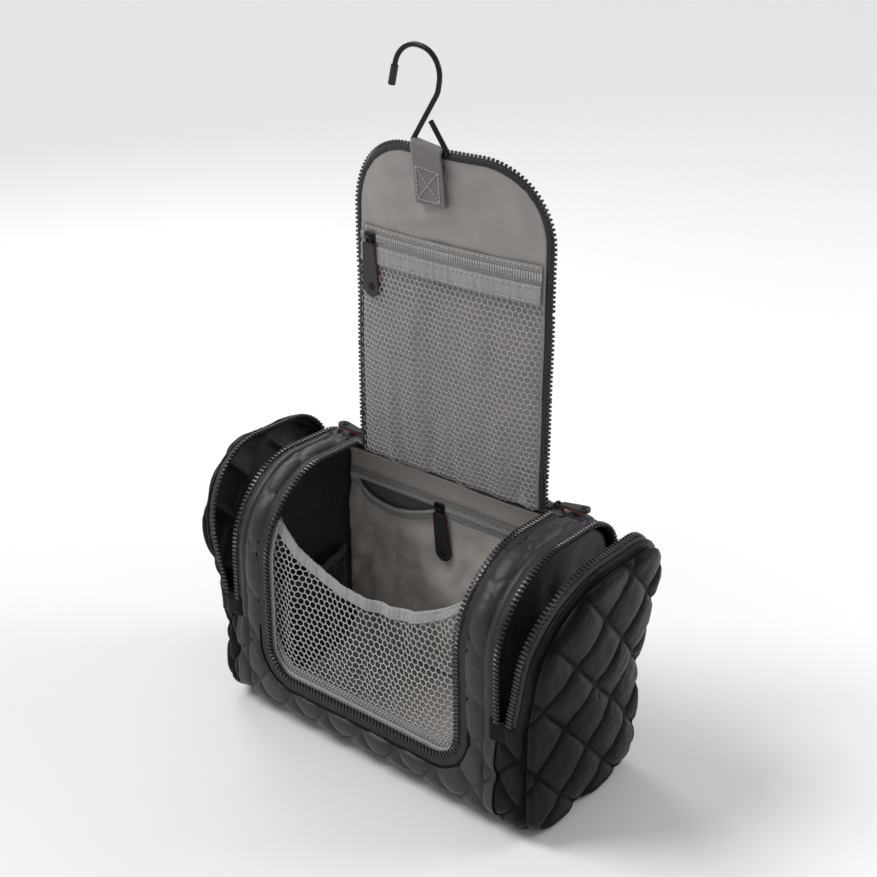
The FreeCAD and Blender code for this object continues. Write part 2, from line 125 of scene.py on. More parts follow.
def half_round(offset):
    """The height of a half-round ridge: 1 at offset 0 and 0 from an offset of 1 on."""
    return np.sqrt(np.clip(1 - offset ** 2, 0, 1))


def distances(points):
    """How far along a path each of its points is."""
    return np.concatenate([[0], np.cumsum(np.linalg.norm(np.diff(points, axis=0), axis=1))])


def same(vector, count):
    """One direction for each of count points."""
    return np.tile(np.array(vector, float), (count, 1))


# ---- the bag's cross-section -----------------------------------------------------------------------------

def make_section():
    """The section's stretches, from the flap's hinge down the back, under, and up the front to it again."""
    return [
        ("arc", (BACK - CROWN, TOP - CROWN), CROWN, 90, 0),
        ("line", (BACK, TOP - CROWN), (BACK, HEEL)),
        ("arc", (BACK - HEEL, HEEL), HEEL, 0, -90),
        ("line", (BACK - HEEL, 0.0), (FRONT + TOE, 0.0)),
        ("arc", (FRONT + TOE, TOE), TOE, -90, -180),
        ("line", (FRONT, TOE), (FRONT, TOP - SHOULDER)),
        ("arc", (FRONT + SHOULDER, TOP - SHOULDER), SHOULDER, 180, 90),
        ("line", (FRONT + SHOULDER, TOP), (HINGE.y, TOP)),
    ]


SECTION = make_section()


def length_of(piece):
    if piece[0] == "line":
        return math.dist(piece[1], piece[2])
    return piece[2] * math.radians(abs(piece[4] - piece[3]))


STARTS = np.concatenate([[0], np.cumsum([length_of(piece) for piece in SECTION])])
PERIMETER = STARTS[-1]
S_BACK_STOP = STARTS[1] + (TOP - CROWN - STOP)
S_FRONT = STARTS[5]
S_SILL = S_FRONT + SILL - TOE
S_FRONT_STOP = S_FRONT + STOP - TOE
S_SHOULDER = STARTS[6]


def outward(piece):
    """The direction out of the bag, square to a straight stretch."""
    start, end = np.array(piece[1]), np.array(piece[2])
    step = (end - start) / math.dist(piece[1], piece[2])
    from_middle = (start + end) / 2 - np.array([(FRONT + BACK) / 2, TOP / 2])
    normal = np.array([-step[1], step[0]])
    return normal if normal @ from_middle > 0 else -normal


def section_at(s):
    """(y, z, outward y, outward z) of the cross-section at distance s along it."""
    s = np.mod(np.asarray(s, float), PERIMETER)
    out = np.zeros(s.shape + (4,))
    for number, piece in enumerate(SECTION):
        here = (s >= STARTS[number]) & (s <= STARTS[number + 1] + 1e-9)
        along = s[here] - STARTS[number]
        if piece[0] == "line":
            start, end = np.array(piece[1]), np.array(piece[2])
            step = (end - start) / math.dist(piece[1], piece[2])
            out[here, 0] = start[0] + step[0] * along
            out[here, 1] = start[1] + step[1] * along
            out[here, 2:] = outward(piece)
        else:
            centre, radius, begin, finish = piece[1:]
            angle = np.radians(begin) + np.sign(finish - begin) * along / radius
            out[here, 0] = centre[0] + radius * np.cos(angle)
            out[here, 1] = centre[1] + radius * np.sin(angle)
            out[here, 2] = np.cos(angle)
            out[here, 3] = np.sin(angle)
    return out


def slouch(points):
    """The slack of the empty bag: a slow unevenness that every soft piece of the body shares."""
    moved = points.copy()
    grain = np.array([90, 70, 70]) * MM
    above = smooth(points[..., 2], 2 * MM, 25 * MM)
    moved[..., 0] += noise(points, grain, 3) * 1.2 * MM * above
    moved[..., 1] += noise(points, grain, 4) * 1.6 * MM * above
    moved[..., 2] += noise(points, grain, 5) * 1.0 * MM * above
    # The padding is pressed flat where the bag stands on its base.
    moved[..., 2] += 2.6 * MM * (1 - smooth(points[..., 2], 0, 22 * MM))
    clearance, soft = 0.3 * MM, 1.1 * MM
    low = np.minimum(moved[..., 2] - 2 * soft, 0)
    flattened = clearance + (2 * soft - clearance) * np.exp(low / soft)
    moved[..., 2] = np.where(moved[..., 2] < 2 * soft, flattened, moved[..., 2])
    return moved


def on_body(x, s, lift):
    """A point of the body at x, s along its cross-section, and lift outside it."""
    x, s, lift = np.broadcast_arrays(np.asarray(x, float), s, lift)
    place = section_at(s)
    points = np.stack([x, place[..., 0] + place[..., 2] * lift, place[..., 1] + place[..., 3] * lift], -1)
    return slouch(points)


# ---- mesh helpers ----------------------------------------------------------------------------------------

def mesh_object(name, verts, faces, materials, uv=None, indices=None, smooth_shade=True):
    mesh = bpy.data.meshes.new(name)
    mesh.from_pydata(np.asarray(verts, float).reshape(-1, 3).tolist(), [], [list(map(int, f)) for f in faces])
    mesh.validate(verbose=False)
    for material in materials:
        mesh.materials.append(material)
    if indices is not None:
        mesh.polygons.foreach_set("material_index", np.asarray(indices, np.int32))
    mesh.polygons.foreach_set("use_smooth", [smooth_shade] * len(mesh.polygons))
    if uv is not None:
        layer = mesh.uv_layers.new(name="cloth")
        loops = np.zeros(len(mesh.loops), np.int32)
        mesh.loops.foreach_get("vertex_index", loops)
        layer.data.foreach_set("uv", np.asarray(uv, np.float32).reshape(-1, 2)[loops].ravel())
    mesh.update()
    thing = bpy.data.objects.new(name, mesh)
    bpy.context.scene.collection.objects.link(thing)
    return thing


def grid_faces(rows, columns, flip=False, closed=False, keep=None):
    """Faces of a grid of rows x columns points; closed joins the last row to the first."""
    faces = []
    for i in range(rows if closed else rows - 1):
        nxt = (i + 1) % rows
        for j in range(columns - 1):
            if keep is not None and not keep[i, j]:
                continue
            face = (i * columns + j, i * columns + j + 1, nxt * columns + j + 1, nxt * columns + j)
            faces.append(face[::-1] if flip else face)
    return faces


def grid_object(name, points, materials, uv, flip=False, keep=None, seam_shade=None):
    rows, columns = points.shape[:2]
    faces = grid_faces(rows, columns, flip, keep=keep)
    if keep is not None:
        used = np.unique(np.array(faces).ravel())
        renumber = -np.ones(rows * columns, int)
        renumber[used] = np.arange(len(used))
        faces = renumber[np.array(faces)]
        thing = mesh_object(name, points.reshape(-1, 3)[used], faces, materials, uv.reshape(-1, 2)[used])
        return mark_seam_shade(thing, None if seam_shade is None else seam_shade.reshape(-1)[used])
    return mark_seam_shade(mesh_object(name, points, faces, materials, uv), seam_shade)


def capped(points, flip):
    """Verts and faces of rings of points, closed round and drawn together at a hub past the last column."""
    rows, width = points.shape[:2]
    faces = grid_faces(rows, width, flip, closed=True)
    for row in range(rows):
        cap = (row * width + width - 1, rows * width, ((row + 1) % rows) * width + width - 1)
        faces.append(cap if flip else cap[::-1])
    return np.concatenate([points.reshape(-1, 3), points[:, -1].mean(0)[None]]), faces


def mark_seam_shade(thing, seam_shade):
    """Stores how close each point is to a stitched line, for the cloth's material: 1 on it. The material
    paints shade there by dropping its reflection.
    """
    if seam_shade is not None:
        layer = thing.data.attributes.new("seam", "FLOAT", "POINT")
        layer.data.foreach_set("value", np.asarray(seam_shade, np.float32).ravel())
    return thing


def thicken(thing, thickness, inner_slot=0):
    """Gives a cloth surface its thickness, inward, with the inner face in another material if asked."""
    modifier = thing.modifiers.new("thickness", "SOLIDIFY")
    modifier.thickness = thickness
    modifier.offset = -1
    modifier.material_offset = inner_slot
    return thing


def steps(low, high, spacing):
    return np.linspace(low, high, max(2, int(round(abs(high - low) / spacing)) + 1))


def finish_piece(thing, body, slot, *nodes):
    """Rides on a body given by its name, or is only baked in place when given a bend, and stands for CAD
    nodes. The slot is not used.
    """
    if isinstance(body, str):
        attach(thing, body)
    else:
        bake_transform(thing)
    if nodes:
        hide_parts(*nodes)
    return thing


# ---- materials -------------------------------------------------------------------------------------------

def shader(name):
    material = bpy.data.materials.new(name)
    material.use_nodes = True
    return material, material.node_tree, material.node_tree.nodes["Principled BSDF"]


def add(tree, kind, **values):
    node = tree.nodes.new(kind)
    for key, value in values.items():
        if key in node.inputs:
            node.inputs[key].default_value = value
        else:
            setattr(node, key, value)
    return node


def mottle(tree, target, low, high, scale):
    """Drives a socket from noise between two values: colours or numbers."""
    place = add(tree, "ShaderNodeTexCoord")
    grain = add(tree, "ShaderNodeTexNoise", Scale=scale, Detail=3.0)
    tree.links.new(place.outputs["Object"], grain.inputs["Vector"])
    if hasattr(low, "__len__"):
        mix = add(tree, "ShaderNodeMix", data_type="RGBA")
        mix.inputs[6].default_value, mix.inputs[7].default_value = (*low, 1), (*high, 1)
        tree.links.new(grain.outputs["Fac"], mix.inputs["Factor"])
        tree.links.new(mix.outputs[2], target)
    else:
        span = add(tree, "ShaderNodeMapRange")
        span.inputs["To Min"].default_value, span.inputs["To Max"].default_value = low, high
        tree.links.new(grain.outputs["Fac"], span.inputs["Value"])
        tree.links.new(span.outputs["Result"], target)


def weave_bump(tree, skin, period, strength, crease=0.0, crease_scale=150.0):
    """Threads across each other on the cloth's own map, with small creases over them."""
    cloth = add(tree, "ShaderNodeUVMap", uv_map="cloth")
    waves = []
    for direction in ("X", "Y"):
        wave = add(tree, "ShaderNodeTexWave", bands_direction=direction, Scale=0.314 / period, Distortion=0.4)
        tree.links.new(cloth.outputs["UV"], wave.inputs["Vector"])
        waves.append(wave)
    threads = add(tree, "ShaderNodeMath", operation="MAXIMUM")
    for wave, socket in zip(waves, threads.inputs):
        tree.links.new(wave.outputs["Fac"], socket)
    bump = add(tree, "ShaderNodeBump", Strength=strength, Distance=0.00015)
    tree.links.new(threads.outputs["Value"], bump.inputs["Height"])
    last = bump
    if crease:
        place = add(tree, "ShaderNodeTexCoord")
        grain = add(tree, "ShaderNodeTexNoise", Scale=crease_scale, Detail=4.0, Roughness=0.6)
        tree.links.new(place.outputs["Object"], grain.inputs["Vector"])
        last = add(tree, "ShaderNodeBump", Strength=crease, Distance=0.002)
        tree.links.new(grain.outputs["Fac"], last.inputs["Height"])
        tree.links.new(bump.outputs["Normal"], last.inputs["Normal"])
    tree.links.new(last.outputs["Normal"], skin.inputs["Normal"])


def fabric(name, dark, light, rough, sheen=0.0, period=0.6 * MM, strength=0.4, crease=0.0, crease_scale=150.0,
           shine=0.5, stitched=False):
    material, tree, skin = shader(name)
    mottle(tree, skin.inputs["Base Color"], dark, light, 45.0)
    # Painted shade: where the seam attribute is 1, the reflection falls from shine to 0.03, darkening the
    # stitched grooves.
    if stitched:
        seam = add(tree, "ShaderNodeAttribute", attribute_name="seam")
        depth = add(tree, "ShaderNodeMapRange")
        depth.inputs["To Min"].default_value, depth.inputs["To Max"].default_value = shine, 0.03
        tree.links.new(seam.outputs["Fac"], depth.inputs["Value"])
        tree.links.new(depth.outputs["Result"], skin.inputs["Specular IOR Level"])
    mottle(tree, skin.inputs["Roughness"], rough - 0.06, rough + 0.06, 90.0)
    if not stitched:
        skin.inputs["Specular IOR Level"].default_value = shine
    skin.inputs["Sheen Weight"].default_value = sheen
    skin.inputs["Sheen Roughness"].default_value = 0.4
    weave_bump(tree, skin, period, strength, crease, crease_scale)
    return material


def hard(name, dark, light, rough, metallic=0.0, bump=0.0, scale=400.0):
    material, tree, skin = shader(name)
    mottle(tree, skin.inputs["Base Color"], dark, light, 60.0)
    mottle(tree, skin.inputs["Roughness"], rough - 0.05, rough + 0.07, 220.0)
    skin.inputs["Metallic"].default_value = metallic
    if bump:
        place = add(tree, "ShaderNodeTexCoord")
        grain = add(tree, "ShaderNodeTexNoise", Scale=scale, Detail=5.0)
        raised = add(tree, "ShaderNodeBump", Strength=bump, Distance=0.0004)
        tree.links.new(place.outputs["Object"], grain.inputs["Vector"])
        tree.links.new(grain.outputs["Fac"], raised.inputs["Height"])
        tree.links.new(raised.outputs["Normal"], skin.inputs["Normal"])
    return material


# Both nylons take painted shade along their stitched lines (the last argument turns it on).
NYLON = fabric("nylon_quilted", (.0030, .0033, .0052), (.0065, .007, .0095), .40, 0.0, .5 * MM, .2, .35,
               120.0, .13, True)
PLAIN = fabric("nylon_plain", (.0030, .0033, .0052), (.0065, .007, .0095), .46, 0.0, .5 * MM, .2, .35,
               120.0, .08, True)
DARK_LINING = fabric("lining_black", (.014, .014, .019), (.022, .022, .028), .46, .1, .5 * MM, .3, .3, 90.0)
# Painted light: a lightened copy of the grey lining, for the lining inside the main compartment, where little
# light reaches.
LIGHTENED_INNER_LINING = fabric("lining_inner_painted_light", (.40, .365, .34), (.50, .46, .43), .33, .3, .5 * MM, .35, .25, 60.0)
GREY_LINING = fabric("lining_grey", (.245, .23, .22), (.32, .30, .288), .33, .25, .5 * MM, .35, .25, 60.0)
GREY_BACK = fabric("lining_pocket", (.10, .093, .088), (.14, .13, .123), .46, .2, .5 * MM, .35, .35, 60.0)
NET = fabric("net_grey", (.36, .352, .345), (.44, .43, .42), .55, .2, .9 * MM, .5)
ELASTIC = fabric("elastic_grey", (.29, .283, .276), (.36, .35, .34), .6, .3, .7 * MM, .9, .4, 500.0)
DARK_ELASTIC = fabric("elastic_dark", (.03, .03, .034), (.045, .045, .05), .6, .3, .7 * MM, .9, .4, 500.0)
WEBBING = fabric("webbing_grey", (.135, .115, .122), (.20, .175, .182), .6, .35, 1.1 * MM, 1.0)
TAPE_BLACK = fabric("zip_tape_black", (.006, .006, .008), (.012, .012, .014), .58, .06, .8 * MM, .8)
TAPE_GREY = fabric("zip_tape_grey", (.235, .226, .218), (.29, .28, .27), .6, .25, .8 * MM, .8)
TEETH = hard("teeth_black", (.010, .0105, .012), (.018, .0185, .021), .27)
COIL = hard("coil_grey", (.40, .39, .375), (.50, .49, .475), .38)
METAL = hard("slider_black", (.013, .013, .015), (.02, .02, .022), .3, .6)
HOOK = hard("hook_black", (.014, .014, .016), (.022, .022, .025), .32, .7, .05)
RUBBER = hard("rubber_black", (.010, .010, .010), (.016, .016, .016), .62)
LEATHER = hard("leather_black", (.011, .010, .010), (.019, .018, .017), .44, 0, .35, 900.0)
LEATHER_RED = hard("leather_red", (.13, .012, .015), (.20, .022, .025), .5, 0, .35, 900.0)
THREAD = fabric("thread_light", (.45, .44, .43), (.56, .55, .54), .6, .3, .3 * MM, .6)
FLOOR = hard("floor_paper", (.86, .86, .86), (.87, .87, .87), .9)


# ---- shared builders -------------------------------------------------------------------------------------

def unit(vectors):
    return vectors / np.maximum(np.linalg.norm(vectors, axis=-1, keepdims=True), 1e-12)


def swept(points, across, normal, profile):
    """Points of a strip: profile is a list of (across, up) offsets, in metres."""
    profile = np.asarray(profile, float)
    return points[:, None] + across[:, None] * profile[None, :, :1] + normal[:, None] * profile[None, :, 1:2]


def strip(name, points, across, normal, profile, material, wobble=0.0, grain=3 * MM):
    along = distances(points)
    if wobble:
        ripple = noise(uvw(along, 0.0), grain, 11)[:, None] * wobble
        points = points + normal * ripple
    grid = swept(points, across, normal, profile)
    girth = distances(np.asarray(profile, float))
    uv = np.stack(np.meshgrid(along, girth, indexing="ij"), -1)
    return grid_object(name, grid, [material], uv)


def rounded_profile(low, high, thick, count=3):
    """A flat strip's cross-section with soft edges, closed round: across from low to high, thick high."""
    radius = thick / 2
    angles = np.linspace(-math.pi / 2, math.pi / 2, count + 2)
    right = [(high - radius + radius * math.cos(a), radius + radius * math.sin(a)) for a in angles]
    left = [(low + radius - radius * math.cos(a), radius - radius * math.sin(a)) for a in angles]
    return right + left + [right[0]]


def repeated(name, shape, faces, origins, xs, ys, zs, material, smooth_shade=False):
    """One small shape repeated at many places, as one mesh."""
    shape = np.asarray(shape, float)
    verts = (origins[:, None] + xs[:, None] * shape[None, :, :1] + ys[:, None] * shape[None, :, 1:2]
             + zs[:, None] * shape[None, :, 2:])
    count = len(shape)
    every = [[index + number * count for index in face] for number in range(len(origins)) for face in faces]
    uv = np.tile(shape[:, :2], (len(origins), 1))
    return mesh_object(name, verts, every, [material], uv, smooth_shade=smooth_shade)


def solid_loft(rings):
    """Closed solid through rings of points, each with the same count: verts and faces."""
    count = len(rings[0])
    verts = [point for ring in rings for point in ring]
    faces = []
    for level in range(len(rings) - 1):
        for index in range(count):
            nxt = (index + 1) % count
            faces.append((level * count + index, level * count + nxt,
                          (level + 1) * count + nxt, (level + 1) * count + index))
    faces.append(tuple(reversed(range(count))))
    faces.append(tuple((len(rings) - 1) * count + index for index in range(count)))
    return verts, faces


def rectangle_ring(width, reach, height, base=0.0):
    """A ring across the tooth's length: x along the zip, y across it, z up, with its corners cut."""
    half, cut = width / 2, min(width, height) * 0.22
    low, high = base, base + height
    return [(-half, reach, low + cut), (-half + cut, reach, low), (half - cut, reach, low),
            (half, reach, low + cut),
            (half, reach, high - cut), (half - cut, reach, high), (-half + cut, reach, high),
            (-half, reach, high - cut)]


def chunky_tooth():
    """A moulded zip tooth: a wide foot on the tape, a waist, and a rounded head. It points to -y."""
    return solid_loft([rectangle_ring(1.9 * MM, 2.0 * MM, 1.5 * MM, 0.2 * MM),
                       rectangle_ring(2.2 * MM, 1.4 * MM, 2.3 * MM),
                       rectangle_ring(2.1 * MM, -0.6 * MM, 2.4 * MM),
                       rectangle_ring(1.3 * MM, -1.3 * MM, 2.1 * MM, 0.1 * MM),
                       rectangle_ring(1.9 * MM, -2.1 * MM, 2.2 * MM, 0.1 * MM),
                       rectangle_ring(1.2 * MM, -2.8 * MM, 1.4 * MM, 0.5 * MM)])


def spaced(points, *others, pitch):
    """Resamples a path and what goes with it to an even pitch."""
    along = distances(points)
    places = np.arange(pitch / 2, along[-1], pitch)
    sampled = [np.stack([np.interp(places, along, values[:, axis]) for axis in range(3)], -1)
               for values in (points, *others)]
    return sampled[0], [unit(values) for values in sampled[1:]]


def teeth(name, points, across, normal, lift, pitch=3.0 * MM):
    """A row of chunky teeth along a path; across points away from where the teeth reach."""
    tangent = unit(np.gradient(points, axis=0))
    origins, (xs, ys, zs) = spaced(points + normal * lift, tangent, across, normal, pitch=pitch)
    verts, faces = chunky_tooth()
    return repeated(name, verts, faces, origins, xs, ys, zs, TEETH)


def stitches(name, points, normal, dash=2.6 * MM, pitch=4.0 * MM, radius=0.32 * MM):
    """Dashes of thread along a path, each sinking into the cloth at its ends."""
    tangent = unit(np.gradient(points, axis=0))
    side = unit(np.cross(tangent, normal))
    origins, (xs, ys, zs) = spaced(points, tangent, side, normal, pitch=pitch)
    rings = []
    for share, rise, size in ((-0.5, -0.2, 0.5), (-0.32, 0.5, 1), (0.32, 0.5, 1), (0.5, -0.2, 0.5)):
        rings.append([(dash * share, math.cos(turn) * radius * size, (rise + math.sin(turn) * size) * radius)
                      for turn in np.linspace(0, 2 * math.pi, 7)[:-1]])
    verts, faces = solid_loft(rings)
    return repeated(name, verts, faces, origins, xs, ys, zs, THREAD, smooth_shade=True)


def hex_net(name, u_range, v_range, inside, place, pitch, material, thickness=0.45 * MM, hole_corner=0.475,
            hole_side=0.44):
    """A knitted net of six-sided holes, on a surface given by place(u, v)."""
    rise = pitch * math.sqrt(3) / 2
    centres = []
    for row in range(int((v_range[1] - v_range[0]) / rise) + 2):
        for column in range(int((u_range[1] - u_range[0]) / pitch) + 2):
            centres.append((u_range[0] + (column + 0.5 * (row % 2)) * pitch, v_range[0] + row * rise))
    centres = np.array(centres)
    centres = centres[inside(centres[:, 0], centres[:, 1])]
    outer, inner = [], []
    for number in range(12):
        turn = math.radians(30 * number + 30)
        reach = pitch / math.sqrt(3) if number % 2 == 0 else pitch / 2
        outer.append((math.cos(turn) * reach, math.sin(turn) * reach))
        hole = pitch * (hole_corner if number % 2 == 0 else hole_side)
        inner.append((math.cos(turn) * hole, math.sin(turn) * hole))
    flat = (centres[:, None] + np.array(outer + inner)[None]).reshape(-1, 2)
    keys, first, back = np.unique(np.round(flat / (0.02 * MM)).astype(np.int64), axis=0,
                                  return_index=True, return_inverse=True)
    back = back.reshape(-1)
    base = np.arange(len(centres))[:, None] * 24
    ring = np.arange(12)
    after = (ring + 1) % 12
    quads = np.stack([base + ring, base + after, base + 12 + after, base + 12 + ring], -1).reshape(-1, 4)
    flat = flat[first]
    thing = mesh_object(name, place(flat[:, 0], flat[:, 1]), back[quads], [material], flat)
    thicken(thing, thickness)
    return thing


# ---- the quilted shell -----------------------------------------------------------------------------------

SEAM_X = 107 * MM
INNER_EDGE = 117 * MM
OUTER_EDGE = 130 * MM
QUILT = 3.8 * MM


def pillow(u, v, seed=21, width=DIAMOND_W, height=DIAMOND_H):
    """Diamond quilting: 0 along the stitch lines and about 1 over the middle of each diamond."""
    u = u + noise(uvw(u, v), 32 * MM, seed) * 1.0 * MM
    v = v + noise(uvw(u, v), 32 * MM, seed + 1) * 1.0 * MM
    a, b = u / width + v / height, u / width - v / height
    soft = 0.07
    rise = ((np.sqrt(np.sin(np.pi * a) ** 2 + soft ** 2) - soft)
            * (np.sqrt(np.sin(np.pi * b) ** 2 + soft ** 2) - soft))
    own = lattice_value(np.floor(a).astype(np.int64), np.floor(b).astype(np.int64), np.int64(0), seed)
    pucker = cloth_noise(u, v, 5, 3.5, seed + 2) * 0.16 * (1 - np.clip(rise * 1.3, 0, 1))
    crease = cloth_noise(u, v, 9, 9, seed + 3) * 0.10
    full = rise / (rise + 0.20) * 1.2
    return full * (1 + 0.12 * own + pucker + crease)


def near_stitches(height):
    """1 where the padding is stitched down, from its height as a share of full."""
    return 1 - smooth(height, 0.04, 0.42)


def opening_distance(x, s):
    """How far outside the main opening's edge a point of the cloth is; negative inside the opening."""
    q = np.abs(x) - (OPENING - OPENING_CORNER)
    p = (S_SILL + OPENING_CORNER) - s
    return np.hypot(np.maximum(q, 0), np.maximum(p, 0)) - OPENING_CORNER + np.minimum(np.maximum(q, p), 0)


def shell_lift(x, s):
    """How far the padded cloth stands out of the plain shape."""
    x, s = np.broadcast_arrays(np.asarray(x, float), s)
    far = np.abs(x)
    distance = opening_distance(x, s)
    seam = 1 - np.exp(-((far - SEAM_X) / (1.5 * MM)) ** 2)
    arch = smooth(s, 0.350, 0.392)
    top = smooth(PERIMETER - s, 0, 6 * MM) * smooth(s, 0, 5 * MM)
    quilt = QUILT * pillow(x, s) * smooth(distance, 8 * MM, 12 * MM)
    tube = half_round((distance - 14 * MM) / (6.8 * MM)) * 4.2 * MM
    thin = half_round((far - 110 * MM) / (3.0 * MM)) * 1.8 * MM
    bunch = 1 + 0.13 * cloth_noise(x, s, 16, 7, 31) + 0.07 * cloth_noise(x, s, 11, 3.2, 32)
    plain = np.where(far < SEAM_X, tube * (0.42 + 0.58 * pillow(x, s)), thin) * bunch
    # The arch's zip tape takes the outermost few millimetres, above the line where the end zip stops.
    taped = 1 - arch * smooth(far, 111 * MM, 113 * MM)
    above_stop = 1 - smooth(s, S_BACK_STOP - 6 * MM, S_BACK_STOP + 4 * MM)
    back_taped = 1 - smooth(far, 111 * MM, 113 * MM) * above_stop
    taped = np.where(s < 0.2, back_taped, taped)
    return (quilt * (1 - arch) + plain * arch) * seam * top * taped


def shell_seam_shade(x, s):
    # Painted shade mask: 1 in the quilting's stitched grooves and in the seam groove at SEAM_X.
    stitched = near_stitches(pillow(x, s)) * (opening_distance(x, s) > 10 * MM)
    return np.maximum(stitched, np.exp(-((np.abs(x) - SEAM_X) / (1.7 * MM)) ** 2))


def shell_piece(name, low_x, high_x, low_s, high_s, cut=False):
    xs, ss = steps(low_x, high_x, 1.25 * MM), steps(low_s, high_s, 1.25 * MM)
    x, s = np.meshgrid(xs, ss)
    points = on_body(x, s, shell_lift(x, s))
    keep = None
    if cut:
        middle = (opening_distance(x, s)[:-1, :-1] + opening_distance(x, s)[1:, 1:]) / 2
        keep = np.ones(x.shape, bool)
        keep[:-1, :-1] = middle > 2.5 * MM
    thing = grid_object(name, points, [NYLON, DARK_LINING], np.stack([x, s], -1), flip=True, keep=keep,
                        seam_shade=shell_seam_shade(x, s))
    thicken(thing, 1.2 * MM, 1)
    return thing


# Where the back panel ends at the heel, and where the arches begin on the front.
S_HEEL, S_ARCH = 0.190, 0.345

back = shell_piece("back_panel_quilted", -INNER_EDGE, INNER_EDGE, 0.0, S_HEEL)
finish_piece(back, "bag", "quilted_nylon", "back_panel")
base = shell_piece("base_panel_quilted", -INNER_EDGE, INNER_EDGE, S_HEEL, S_ARCH, cut=True)
finish_piece(base, "bag", "quilted_nylon", "base_panel", "front_panel")
for side, sign in SIDES:
    edges = sorted((sign * 60 * MM, sign * INNER_EDGE))
    band = shell_piece(f"{side}_side_band_padded", *edges, S_ARCH, PERIMETER, cut=True)
    finish_piece(band, "bag", "plain_nylon", f"{side}_side_band")


def body_frames(x, s, step_x, step_s, lift=0.0):
    """Points on the body with the directions across a strip and out of the cloth."""
    x, s = np.asarray(x, float), np.asarray(s, float)
    reach = 0.5 * MM
    points = on_body(x, s, lift)
    across = unit(on_body(x + np.asarray(step_x) * reach, s + np.asarray(step_s) * reach, lift) - points)
    normal = unit(on_body(x, s, np.asarray(lift) + reach) - points)
    return points, across, normal


def opening_path():
    """The opening's edge from the left hinge, down, along the sill and up: x, s, and outward steps."""
    corner = S_SILL + OPENING_CORNER
    side = steps(PERIMETER - 1 * MM, corner, 1.5 * MM)
    turn = np.radians(steps(180, 270, 4.0))
    sill = steps(-(OPENING - OPENING_CORNER), OPENING - OPENING_CORNER, 1.5 * MM)[1:-1]
    xs = np.concatenate([np.full(len(side), -OPENING),
                         -(OPENING - OPENING_CORNER) + OPENING_CORNER * np.cos(turn[1:]),
                         sill])
    ss = np.concatenate([side, corner + OPENING_CORNER * np.sin(turn[1:]), np.full(len(sill), S_SILL)])
    nx = np.concatenate([np.full(len(side), -1.0), np.cos(turn[1:]), np.zeros(len(sill))])
    ns = np.concatenate([np.zeros(len(side)), np.sin(turn[1:]), np.full(len(sill), -1.0)])
    count = len(side) + len(turn) - 1
    mirror = slice(count - 1, None, -1)
    return (np.concatenate([xs, -xs[mirror]]), np.concatenate([ss, ss[mirror]]),
            np.concatenate([nx, -nx[mirror]]), np.concatenate([ns, ns[mirror]]))


TAPE_PROFILE = rounded_profile(-0.6 * MM, TAPE + 0.4 * MM, 1.3 * MM)
PIPING = [(9.0 * MM + 0.9 * MM * math.cos(a), 1.0 * MM + 0.9 * MM * math.sin(a)) for a in
          np.linspace(0, 2 * math.pi, 9)]

path = opening_path()
points, across, normal = body_frames(*path, lift=0.9 * MM)
tape = strip("main_zip_tape", points, across, normal, TAPE_PROFILE, TAPE_BLACK, 0.25 * MM)
finish_piece(tape, "bag", "black_zip", "main_zip_left_track", "main_zip_right_track", "main_zip_sill_track")
row = teeth("main_zip_teeth", points, across, normal, 0.3 * MM)
finish_piece(row, "bag", "black_zip")
edge = strip("main_zip_piping", points, across, normal, PIPING, PLAIN, 0.3 * MM)
finish_piece(edge, "bag", "plain_nylon")


def end_path(sign, x):
    """The end pocket's zip: from the front stop up, over the top and down the back to the other stop."""
    s = steps(S_FRONT_STOP - 1 * MM, PERIMETER + S_BACK_STOP + 1 * MM, 1.5 * MM)
    return np.full(len(s), sign * x), s


END_TAPE = rounded_profile(-5.2 * MM, 0.6 * MM, 1.3 * MM)
for side, sign in SIDES:
    x, s = end_path(sign, INNER_EDGE)
    points, across, normal = body_frames(x, s, np.full(len(s), float(sign)), np.zeros(len(s)), 0.7 * MM)
    tape = strip(f"{side}_end_inner_tape", points, across, normal, END_TAPE, TAPE_BLACK, 0.25 * MM)
    finish_piece(tape, "bag", "black_zip", f"{side}_end_inner_track")
    row = teeth(f"{side}_end_inner_teeth", points, -across, normal, 0.2 * MM)
    finish_piece(row, "bag", "black_zip")


# ---- end pockets -----------------------------------------------------------------------------------------

OPEN_DEG = {-1: 14.0, 1: 10.0}
ROUND = 5.5 * MM
CENTRE = np.array([-3 * MM, 88 * MM])
END_DIAMOND = (47 * MM, 50 * MM)
ZIP_IN = 2.5 * MM
SEAM_TURN = 0.27


def swing(points, sign):
    """Bends the end panel's upper part out to where the photo shows it, about the line where its zip ends."""
    moved = points.copy()
    turn = np.radians(OPEN_DEG[sign]) * smooth(points[..., 2], STOP - 16 * MM, STOP + 18 * MM)
    x, z = points[..., 0] - sign * END, points[..., 2] - STOP
    moved[..., 0] = sign * END + x * np.cos(turn) + sign * z * np.sin(turn)
    moved[..., 2] = STOP + z * np.cos(turn) - sign * x * np.sin(turn)
    return moved


def edge_x(s):
    """Where the end's gusset begins: at the body below the zip stops, at its own zip above them."""
    z = section_at(s)[..., 1]
    return INNER_EDGE + (OUTER_EDGE - INNER_EDGE) * smooth(z, STOP - 2 * MM, STOP + 3 * MM)


